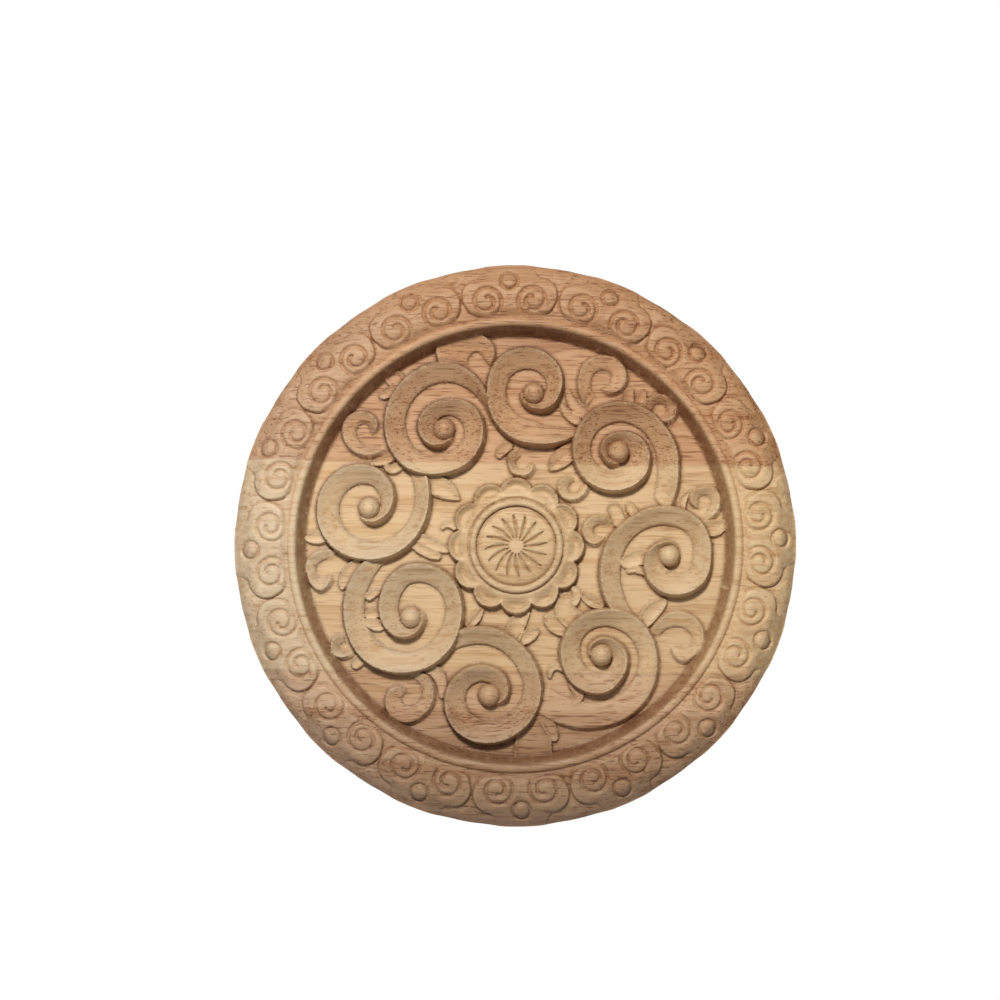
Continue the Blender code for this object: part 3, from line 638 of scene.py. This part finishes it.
class PlanMap:
    """Values on a square grid over the plan, read between its points."""

    def __init__(self, values):
        self.values = values
        self.middle = (len(values) - 1) / 2

    def read(self, u, v):
        just_inside = len(self.values) - 1.001
        across = np.clip(u / MAP_STEP + self.middle, 0, just_inside)
        up = np.clip(v / MAP_STEP + self.middle, 0, just_inside)
        i, j = across.astype(int), up.astype(int)
        s, t = across - i, up - j
        low = self.values[j, i] * (1 - s) + self.values[j, i + 1] * s
        high = self.values[j + 1, i] * (1 - s) + self.values[j + 1, i + 1] * s
        return low * (1 - t) + high * t


def blur(values, radius):
    """Box blur, run three times so that it is soft, with a radius in grid steps."""
    width = 2 * radius + 1
    for _ in range(3):
        for axis in (0, 1):
            margins = [(0, 0), (0, 0)]
            margins[axis] = (radius + 1, radius)
            padded = np.pad(values, margins, "edge")
            total = np.cumsum(padded, axis=axis)
            ahead = np.take(total, range(width, total.shape[axis]), axis=axis)
            behind = np.take(total, range(0, total.shape[axis] - width), axis=axis)
            values = (ahead - behind) / width
    return values


def plan_maps():
    """Over the plan: the mesh's target edge length, how hollow, how steep, and the two together."""
    half = math.ceil(DISC_RADIUS / MAP_STEP) + MAP_MARGIN
    line = np.arange(-half, half + 1) * MAP_STEP
    u, v = (grid.ravel() for grid in np.meshgrid(line, line))
    height = carving_height(u, v).reshape(len(line), len(line))
    bend = np.zeros_like(height)
    for axis in (0, 1):
        for reach in BEND_REACHES:
            ahead, behind = np.roll(height, -reach, axis), np.roll(height, reach, axis)
            bend = np.maximum(bend, np.abs(ahead + behind - 2 * height) / (reach * MAP_STEP) ** 2)
    # The middle of an edge lies off a bent surface by its length squared times the bend, over eight
    spacing = np.clip(np.sqrt(8 * TOLERANCE / (bend + FLATTEST)), FINEST, COARSEST)
    for _ in range(GROWTH_ROUNDS):
        for axis in (0, 1):
            for shift in (-1, 1):
                spacing = np.minimum(spacing, np.roll(spacing, shift, axis) + GROWTH * MAP_STEP)
    hollow = blur(height, HOLLOW_BLUR) - height
    rise_v, rise_u = np.gradient(height, MAP_STEP)
    steep = blur(np.hypot(rise_u, rise_v), STEEP_BLUR)
    shading = blur(np.clip(hollow, 0.0, SHADING_MOST) + np.minimum(steep, SHADING_MOST), STEEP_BLUR)
    return PlanMap(spacing), PlanMap(hollow), PlanMap(steep), PlanMap(shading)


def disc_cells(shape):
    """A square grid rounded out to a disc, so that its cells stay nearly even."""
    bmesh.ops.create_grid(shape, x_segments=FIRST_CELLS, y_segments=FIRST_CELLS, size=1.0)
    for vert in shape.verts:
        x, y, _ = vert.co
        vert.co = Vector((x * math.sqrt(1 - y * y / 2), y * math.sqrt(1 - x * x / 2), 0.0)) * DISC_RADIUS
    bmesh.ops.triangulate(shape, faces=shape.faces[:])


def plan_points(shape):
    """The points of the flat disc as rows of u and v."""
    places = np.empty((len(shape.verts), 2))
    for i, vert in enumerate(shape.verts):
        places[i] = vert.co.xy
    return places


def refine(shape, spacing):
    """Splits every edge that is longer than the surface there allows, round by round."""
    for _ in range(ROUNDS):
        shape.verts.index_update()
        places = plan_points(shape)
        ends = np.array([(edge.verts[0].index, edge.verts[1].index) for edge in shape.edges])
        start, end = places[ends[:, 0]], places[ends[:, 1]]
        length = np.hypot(*(end - start).T)
        target = np.full(len(length), COARSEST)
        for share in EDGE_SHARES:
            place = start + (end - start) * share
            target = np.minimum(target, spacing.read(place[:, 0], place[:, 1]))
        shape.edges.ensure_lookup_table()
        long = [shape.edges[i] for i in np.flatnonzero(length > SPLIT_OVER * target)]
        if not long:
            break
        bmesh.ops.subdivide_edges(shape, edges=long, cuts=1)
        bmesh.ops.triangulate(shape, faces=[face for face in shape.faces if len(face.verts) > 3])
        for vert in shape.verts:
            if vert.is_boundary:
                vert.co *= DISC_RADIUS / vert.co.length
        inner = [vert for vert in shape.verts if not vert.is_boundary]
        bmesh.ops.smooth_vert(shape, verts=inner, factor=0.5, use_axis_x=True, use_axis_y=True)
        bmesh.ops.beautify_fill(shape, faces=shape.faces[:], edges=shape.edges[:], method="ANGLE")


def outline_radius(u, v):
    """Radius of the disc's edge: the clouds stand out a little beyond the blank between them."""
    notch = smoothstep((degrees_from_cloud(u, v) - NOTCH_STARTS) / NOTCH_OVER)
    return DISC_RADIUS - (DISC_RADIUS - BLANK_RADIUS) * notch


def carve_face(shape):
    """Lifts every point of the flat disc to the carved surface, standing upright."""
    places = plan_points(shape)
    u, v = places[:, 0], places[:, 1]
    radius = np.hypot(u, v)
    eased = smoothstep((radius - EDGE_EASED_FROM) / EDGE_EASED_OVER)
    pull = eased * (1.0 - outline_radius(u, v) / DISC_RADIUS)
    u, v = u * (1.0 - pull), v * (1.0 - pull)
    height = carving_height(u, v)
    for vert, x, z, y in zip(shape.verts, u * MM, v * MM, -height * MM):
        vert.co = (x, y, z)


def add_height(shape, extra, share):
    """Adds a share of a plan map to the height of every point."""
    places = np.array([vert.co.xz for vert in shape.verts]) / MM
    for vert, height in zip(shape.verts, extra.read(places[:, 0], places[:, 1])):
        vert.co.y -= share * height * MM


def thin_out(shape, shading):
    """The same surface with fewer triangles, mostly where it is flat and its colour even.

    A share of the shading stands on the surface meanwhile, so that places where only the
    shading changes keep their points too.
    """
    add_height(shape, shading, SHADING_SHARE)
    mesh = bpy.data.meshes.new("dense_face")
    shape.to_mesh(mesh)
    dense = bpy.data.objects.new("dense_face", mesh)
    bpy.context.scene.collection.objects.link(dense)
    thinning = dense.modifiers.new("thinning", "DECIMATE")
    thinning.ratio = CARVED_TRIANGLES / len(mesh.polygons)
    thinned = dense.evaluated_get(bpy.context.evaluated_depsgraph_get())
    shape.clear()
    shape.from_mesh(thinned.to_mesh())
    thinned.to_mesh_clear()
    bpy.data.objects.remove(dense)
    bpy.data.meshes.remove(mesh)
    add_height(shape, shading, -SHADING_SHARE)


def add_side_and_back(shape):
    """The plain side wall, the small chamfer and the flat back. Gives the edges where they meet."""
    rim = [edge for edge in shape.edges if edge.is_boundary]
    corners = rim[:]
    for inset, height in ((0.0, BACK_CHAMFER), (BACK_CHAMFER, 0.0)):
        made = bmesh.ops.extrude_edge_only(shape, edges=rim)["geom"]
        for vert in (item for item in made if isinstance(item, bmesh.types.BMVert)):
            radius = math.hypot(vert.co.x, vert.co.z)
            share = 1.0 - inset * MM / radius
            vert.co = (vert.co.x * share, -height * MM, vert.co.z * share)
        rim = [item for item in made if isinstance(item, bmesh.types.BMEdge) and item.is_boundary]
        corners += rim
    bmesh.ops.edgeloop_fill(shape, edges=rim)
    bmesh.ops.recalc_face_normals(shape, faces=shape.faces[:])
    return corners


def shade_smooth(shape, corners):
    """Smooth shading, apart from the carving's crisp edges and the corners of the blank."""
    for face in shape.faces:
        face.smooth = True
    for edge in shape.edges:
        edge.smooth = edge.calc_face_angle() < CRISP_ANGLE
    for edge in corners:
        edge.smooth = False


def roundel_piece():
    """The carved disc as one closed mesh, with how hollow and how steep each point is."""
    spacing, hollow, steep, shading = plan_maps()
    shape = bmesh.new()
    disc_cells(shape)
    refine(shape, spacing)
    carve_face(shape)
    thin_out(shape, shading)
    shade_smooth(shape, add_side_and_back(shape))
    mesh = bpy.data.meshes.new("carved_face")
    shape.to_mesh(mesh)
    shape.free()
    places = np.empty(len(mesh.vertices) * 3)
    mesh.vertices.foreach_get("co", places)
    places = places.reshape(-1, 3) / MM
    carved = places[:, 1] < -CARVED_ABOVE
    for name, values in (("hollow", hollow), ("steep", steep)):
        shade = mesh.attributes.new(name, "FLOAT", "POINT")
        level = values.read(places[:, 0], places[:, 2]) * carved
        shade.data.foreach_set("value", level.astype(np.float32))
    piece = bpy.data.objects.new("carved_face", mesh)
    bpy.context.scene.collection.objects.link(piece)
    return piece


CLOUD_EDGE = cloud_outline()

# The stage, in metres: a pale round floor, below the view of the camera
FLOOR_DROP = 0.6
FLOOR_SPREAD = 1.05
FLOOR_SIDES = 96
FLOOR_PAINT = (0.93, 0.93, 0.93, 1.0)

# Lights: place in metres, size and power. White sky, dimmer than the camera sees it
WINDOW = ((-0.143, -0.928, 0.573), 0.16, 12.0)
BEHIND = ((-0.50, 0.95, 0.85), 0.8, 9.0)
SKY_LIGHT = 0.08
SKY_SEEN_MORE = 0.92

# Camera: the photograph's width and the lens in pixels, how far off and how high it stands, and its shift
PHOTO_PIXELS = 1000.0
LENS_PIXELS = 1508.0
SENSOR_WIDTH = 36.0
CAMERA_DISTANCE = 0.82
CAMERA_RISE = math.radians(-1.5)
LENS_SHIFT = (-0.0153, 0.0453)

# Wood: staves glued edge to edge. Upper edge, colours at the lower and upper edge, share of dark pores
GRAIN_TILT = math.radians(-0.8)
STAVES_FROM = -151.0
STAVES = (
    (-90.0, (0.300, 0.178, 0.099), (0.490, 0.292, 0.156), 1.0),
    (-68.5, (0.560, 0.343, 0.185), (0.610, 0.385, 0.208), 0.9),
    (0.4, (0.665, 0.452, 0.243), (0.710, 0.490, 0.264), 0.5),
    (43.3, (0.730, 0.506, 0.271), (0.690, 0.462, 0.243), 0.5),
    (106.0, (0.590, 0.338, 0.168), (0.525, 0.288, 0.139), 1.0),
    (151.0, (0.485, 0.262, 0.127), (0.465, 0.250, 0.120), 1.0),
)
JOINT_BLEND = 0.5
JOINT_SHADE = 0.80

# Grain: scale per metre across it, its ratio along it, and detail
BROAD_GRAIN = (95.0, 0.07, 3.0)
FINE_GRAIN = (380.0, 0.05, 4.0)
PORES = (1150.0, 0.06, 2.0)
SPECKS = (2300.0, 0.35, 1.0)
PORE_CROWDING = 0.22

# Masks: the level where each starts, and how fast it rises. Those on places are in metres
BROAD_FROM = (0.49, 4.0)
FINE_FROM = (0.48, 4.5)
PORES_FROM = (0.555, 8.0)
SPECKS_FROM = (0.545, 6.0)
SLOPING_FROM = (0.40, 4.0)
WALL_FROM = (1.1, 1.1)
FACE_FROM = (-0.004, -400.0)
RIM_FROM = (0.1165, 600.0)
RING_WALL_FROM = (0.1115, 900.0)
# Where the painted sheen falls: the rim, and the slopes towards the left
SHEEN_RIM_FROM = (-0.045, -12.0)
SHEEN_SLOPE_FROM = (-0.010, -14.0)

# Tints that the stave's colour is multiplied by, and how much of some of them
BROAD_TINT = (0.82, 0.70, 0.58)
FINE_TINT = (0.84, 0.74, 0.64)
PORE_TINT = (0.56, 0.42, 0.34)
SPECK_TINT = (0.72, 0.64, 0.56)
# Painted cool shade on cut slopes, and how much of it
SLOPE_SHADE_TINT = (0.74, 0.77, 0.80)
SLOPE_SHADE_SHARE = 0.5
# Painted sheen, a cool reflection, and its share on slopes
SHEEN_TINT = (0.97, 1.06, 1.26)
SHEEN_SLOPE_SHARE = 0.6
# Darkening of the wall round the field
RING_WALL_DARKENING_TINT = (0.66, 0.54, 0.44)
# Painted shade on steep walls, and how much of it
WALL_SHADE_TINT = (0.60, 0.46, 0.36)
WALL_SHADE_SHARE = 0.32
# Painted shade in hollows, and how much of it
HOLLOW_SHADE_TINT = (0.42, 0.28, 0.18)
HOLLOW_SHADE_SHARE = 0.32

# Painted highlight that is added on raised edges, which stand out and so are less than hollow
EDGE_HIGHLIGHT = (0.26, 0.19, 0.11)
EDGE_HIGHLIGHT_SHARE = -0.30

# Finish
SMOOTHEST = 0.52
ROUGH_SPREAD = 0.2
GRAIN_BUMP = 0.4
GRAIN_DEPTH = 0.0005


def node(tree, kind, place, **values):
    """A shader node at a place on the node sheet."""
    made = tree.nodes.new(kind)
    made.location = place
    for name, value in values.items():
        setattr(made, name, value)
    return made


def maths(tree, operation, place, first, second=None, third=None, clamp=False):
    """A sum of up to three values, each a number or another node's output."""
    made = node(tree, "ShaderNodeMath", place, operation=operation, use_clamp=clamp)
    for socket, value in zip(made.inputs, (first, second, third)):
        if isinstance(value, bpy.types.NodeSocket):
            tree.links.new(value, socket)
        elif value is not None:
            socket.default_value = value
    return made.outputs[0]


def mix_colour(tree, blend, place, factor, first, second):
    """Two colours blended by a factor. The Mix node's colour sockets are its seventh and eighth."""
    made = node(tree, "ShaderNodeMix", place, data_type="RGBA", blend_type=blend)
    for socket, value in ((made.inputs[0], factor), (made.inputs[6], first), (made.inputs[7], second)):
        if isinstance(value, bpy.types.NodeSocket):
            tree.links.new(value, socket)
        elif isinstance(value, tuple):
            socket.default_value = (*value, 1.0)
        else:
            socket.default_value = value
    return made.outputs[2]


def above(tree, place, value, level, slope):
    """A mask from 0 to 1 that starts at a level and rises by a slope."""
    made = maths(tree, "SUBTRACT", place, value, level)
    return maths(tree, "MULTIPLY", (place[0] + 160, place[1]), made, slope, clamp=True)


def grain_noise(tree, place, coordinates, scale, squeeze, detail):
    """Noise drawn out along the grain: scale is per metre across it, squeeze is its ratio along it."""
    mapping = node(tree, "ShaderNodeMapping", place)
    mapping.inputs["Scale"].default_value = (squeeze, 1.0, 1.0)
    tree.links.new(coordinates, mapping.inputs["Vector"])
    noise = node(tree, "ShaderNodeTexNoise", (place[0] + 200, place[1]))
    noise.inputs["Scale"].default_value = scale
    noise.inputs["Detail"].default_value = detail
    tree.links.new(mapping.outputs[0], noise.inputs["Vector"])
    return noise.outputs["Fac"]


def stave_colours(tree, grain):
    """The staves from the disc's lower edge to its upper one: colour, and the share of pores as alpha."""
    apart = node(tree, "ShaderNodeSeparateXYZ", (-1400, 200))
    tree.links.new(grain, apart.inputs[0])
    spread = -2 * STAVES_FROM
    up = maths(tree, "MULTIPLY_ADD", (-1200, 200), apart.outputs["Z"], 1.0 / (spread * MM), 0.5)
    ramp = node(tree, "ShaderNodeValToRGB", (-1000, 200))
    stops = ramp.color_ramp.elements
    low = STAVES_FROM
    for high, lower, upper, share in STAVES:
        for edge, colour in ((low + JOINT_BLEND, lower), (high - JOINT_BLEND, upper)):
            stops.new((edge - STAVES_FROM) / spread).color = (*colour, share)
        if high < -STAVES_FROM:
            shaded = [JOINT_SHADE * part for part in upper]
            stops.new((high - STAVES_FROM) / spread).color = (*shaded, share)
        low = high
    # The two stops that a new ramp has, at its very ends
    stops.remove(stops[-1])
    stops.remove(stops[0])
    tree.links.new(up, ramp.inputs[0])
    return ramp.outputs["Color"], ramp.outputs["Alpha"]


def distance_from_middle(tree, apart):
    """Distance from the disc's axis, in metres."""
    across = maths(tree, "POWER", (-1200, 1200), apart.outputs["X"], 2.0)
    up = maths(tree, "POWER", (-1200, 1050), apart.outputs["Z"], 2.0)
    return maths(tree, "SQRT", (-900, 1200), maths(tree, "ADD", (-1050, 1200), across, up))


def add_grain(tree, grain, colour, share, sloping):
    """Broad streaks, fine streaks and pores, with specks where the cut slopes across the grain."""
    broad = grain_noise(tree, (-1400, -200), grain, *BROAD_GRAIN)
    fine = grain_noise(tree, (-1400, -450), grain, *FINE_GRAIN)
    pores = grain_noise(tree, (-1400, -700), grain, *PORES)
    specks = grain_noise(tree, (-1400, -950), grain, *SPECKS)
    broad_mask = above(tree, (-900, -200), broad, *BROAD_FROM)
    broad_mask = maths(tree, "MULTIPLY", (-700, -200), broad_mask, share)
    fine_mask = above(tree, (-900, -450), fine, *FINE_FROM)
    crowded = maths(tree, "MULTIPLY_ADD", (-1100, -600), broad, PORE_CROWDING, -PORE_CROWDING / 2)
    pore_mask = above(tree, (-900, -700), maths(tree, "ADD", (-1000, -700), pores, crowded), *PORES_FROM)
    pore_mask = maths(tree, "MULTIPLY", (-700, -700), pore_mask, share)
    speck_mask = above(tree, (-900, -950), specks, *SPECKS_FROM)
    speck_mask = maths(tree, "MULTIPLY", (-700, -950), speck_mask, sloping)
    speck_mask = maths(tree, "MULTIPLY", (-550, -950), speck_mask, share)
    colour = mix_colour(tree, "MULTIPLY", (-700, 200), broad_mask, colour, BROAD_TINT)
    colour = mix_colour(tree, "MULTIPLY", (-500, 200), fine_mask, colour, FINE_TINT)
    colour = mix_colour(tree, "MULTIPLY", (-300, 200), pore_mask, colour, PORE_TINT)
    colour = mix_colour(tree, "MULTIPLY", (-100, 200), speck_mask, colour, SPECK_TINT)
    return colour, fine, pore_mask


def carved_wood_material():
    """Bare rubberwood, with painted light and shade: cool grey shade on cut slopes, shade in hollows and on
    walls, a cool sheen towards the left and highlights on raised edges.
    """
    wood = bpy.data.materials.new("carved_rubberwood")
    wood.use_nodes = True
    tree = wood.node_tree
    shader = tree.nodes["Principled BSDF"]
    coordinates = node(tree, "ShaderNodeTexCoord", (-1800, 0)).outputs["Object"]
    level = node(tree, "ShaderNodeMapping", (-1600, 0))
    level.inputs["Rotation"].default_value = (0.0, GRAIN_TILT, 0.0)
    tree.links.new(coordinates, level.inputs["Vector"])
    grain = level.outputs[0]
    steep = node(tree, "ShaderNodeAttribute", (-1400, 700), attribute_name="steep").outputs["Fac"]
    hollow = node(tree, "ShaderNodeAttribute", (-1400, 500), attribute_name="hollow").outputs["Fac"]
    apart = node(tree, "ShaderNodeSeparateXYZ", (-1400, 1200))
    tree.links.new(coordinates, apart.inputs[0])
    outward = distance_from_middle(tree, apart)

    on_face = above(tree, (-900, 1700), apart.outputs["Y"], *FACE_FROM)
    on_rim = above(tree, (-700, 1550), outward, *RIM_FROM)
    on_rim = maths(tree, "MULTIPLY", (-450, 1700), on_face, on_rim)
    sloping = above(tree, (-900, 900), steep, *SLOPING_FROM)
    sloping = maths(tree, "SUBTRACT", (-700, 900), sloping, on_rim, clamp=True)
    colour, share = stave_colours(tree, grain)
    colour, fine, pore_mask = add_grain(tree, grain, colour, share, sloping)
    # Painted cool shade: the slopes are greyer and darker
    painted_slope_shade = maths(tree, "MULTIPLY", (-100, 900), sloping, SLOPE_SHADE_SHARE)
    colour = mix_colour(tree, "MULTIPLY", (100, 200), painted_slope_shade, colour, SLOPE_SHADE_TINT)

    # Painted sheen: the rim and the slopes are paler and cooler towards the left, a painted reflection
    sheen_on_rim = above(tree, (-700, 1400), apart.outputs["X"], *SHEEN_RIM_FROM)
    sheen_on_rim = maths(tree, "MULTIPLY", (-450, 1400), sheen_on_rim, on_rim)
    sheen_on_slopes = above(tree, (-700, 1900), apart.outputs["X"], *SHEEN_SLOPE_FROM)
    sheen_on_slopes = maths(tree, "MULTIPLY", (-450, 1900), sheen_on_slopes, sloping)
    sheen_on_slopes = maths(tree, "MULTIPLY", (-300, 1900), sheen_on_slopes, SHEEN_SLOPE_SHARE)
    pale = maths(tree, "ADD", (-300, 1400), sheen_on_rim, sheen_on_slopes)
    colour = mix_colour(tree, "MULTIPLY", (200, 400), pale, colour, SHEEN_TINT)

    # Walls get painted shade, and the wall round the field is darkened most of all
    wall = above(tree, (-100, 700), steep, *WALL_FROM)
    ring_wall = above(tree, (-700, 1200), outward, *RING_WALL_FROM)
    ring_wall_darkening = maths(tree, "MULTIPLY", (-300, 1200), ring_wall, wall)
    colour = mix_colour(tree, "MULTIPLY", (300, 200), ring_wall_darkening, colour, RING_WALL_DARKENING_TINT)
    # Painted shade on steep walls
    painted_wall_shade = maths(tree, "MULTIPLY", (100, 700), wall, WALL_SHADE_SHARE)
    colour = mix_colour(tree, "MULTIPLY", (400, 200), painted_wall_shade, colour, WALL_SHADE_TINT)
    # Painted shade in hollows
    painted_hollow_shade = maths(tree, "MULTIPLY", (-100, 500), hollow, HOLLOW_SHADE_SHARE, clamp=True)
    colour = mix_colour(tree, "MULTIPLY", (500, 200), painted_hollow_shade, colour, HOLLOW_SHADE_TINT)
    # Painted highlight on raised edges
    painted_edge_highlight = maths(tree, "MULTIPLY", (-100, 350), hollow, EDGE_HIGHLIGHT_SHARE, clamp=True)
    colour = mix_colour(tree, "SCREEN", (700, 200), painted_edge_highlight, colour, EDGE_HIGHLIGHT)
    tree.links.new(colour, shader.inputs["Base Color"])

    rough = maths(tree, "MULTIPLY_ADD", (700, -100), fine, ROUGH_SPREAD, SMOOTHEST)
    tree.links.new(rough, shader.inputs["Roughness"])
    bump = node(tree, "ShaderNodeBump", (700, -400))
    bump.inputs["Strength"].default_value = GRAIN_BUMP
    bump.inputs["Distance"].default_value = GRAIN_DEPTH
    relief = maths(tree, "SUBTRACT", (500, -400), fine, pore_mask)
    tree.links.new(relief, bump.inputs["Height"])
    tree.links.new(bump.outputs[0], shader.inputs["Normal"])
    shader.location = (1000, 200)
    tree.nodes["Material Output"].location = (1300, 200)
    return wood


def add_stage():
    """The pale floor."""
    shape = bmesh.new()
    below = Matrix.Translation((0.0, 0.0, -FLOOR_DROP))
    bmesh.ops.create_circle(shape, cap_ends=True, segments=FLOOR_SIDES, radius=FLOOR_SPREAD, matrix=below)
    mesh = bpy.data.meshes.new("pale_floor")
    shape.to_mesh(mesh)
    shape.free()
    floor = bpy.data.objects.new("pale_floor", mesh)
    bpy.context.scene.collection.objects.link(floor)
    paint = bpy.data.materials.new("pale_floor")
    paint.use_nodes = True
    paint.node_tree.nodes["Principled BSDF"].inputs["Base Color"].default_value = FLOOR_PAINT
    mesh.materials.append(paint)


def add_light(name, place, size, power):
    """A square light that faces the middle of the disc."""
    lamp = bpy.data.lights.new(name, "AREA")
    lamp.size = size
    lamp.energy = power
    item = bpy.data.objects.new(name, lamp)
    item.location = place
    item.rotation_euler = (-Vector(place)).to_track_quat("-Z", "Y").to_euler()
    bpy.context.scene.collection.objects.link(item)


def add_world():
    """A white surround that gives less light than the camera sees."""
    world = bpy.data.worlds.new("studio")
    world.use_nodes = True
    tree = world.node_tree
    background = tree.nodes["Background"]
    background.inputs["Color"].default_value = (1.0, 1.0, 1.0, 1.0)
    seen = tree.nodes.new("ShaderNodeLightPath").outputs["Is Camera Ray"]
    strength = maths(tree, "MULTIPLY_ADD", (0, 0), seen, SKY_SEEN_MORE, SKY_LIGHT)
    tree.links.new(strength, background.inputs["Strength"])
    bpy.context.scene.world = world


def add_camera():
    """Straight on, from a little below, with the disc where the photograph has it."""
    lens = bpy.data.cameras.new("camera")
    lens.sensor_width = SENSOR_WIDTH
    lens.lens = SENSOR_WIDTH * LENS_PIXELS / PHOTO_PIXELS
    lens.shift_x, lens.shift_y = LENS_SHIFT
    camera = bpy.data.objects.new("camera", lens)
    back, up = math.cos(CAMERA_RISE), math.sin(CAMERA_RISE)
    camera.location = (0.0, -CAMERA_DISTANCE * back, CAMERA_DISTANCE * up)
    camera.rotation_euler = (math.pi / 2 - CAMERA_RISE, 0.0, 0.0)
    bpy.context.scene.collection.objects.link(camera)
    bpy.context.scene.camera = camera


def build():
    """The piece on its part, and what it is seen with."""
    face = roundel_piece()
    face.data.materials.append(carved_wood_material())
    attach(face, "root")
    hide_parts("carved_roundel")
    add_stage()
    add_light("window", *WINDOW)
    add_light("behind", *BEHIND)
    add_world()
    add_camera()
    bpy.context.scene.view_settings.view_transform = "Standard"


build()
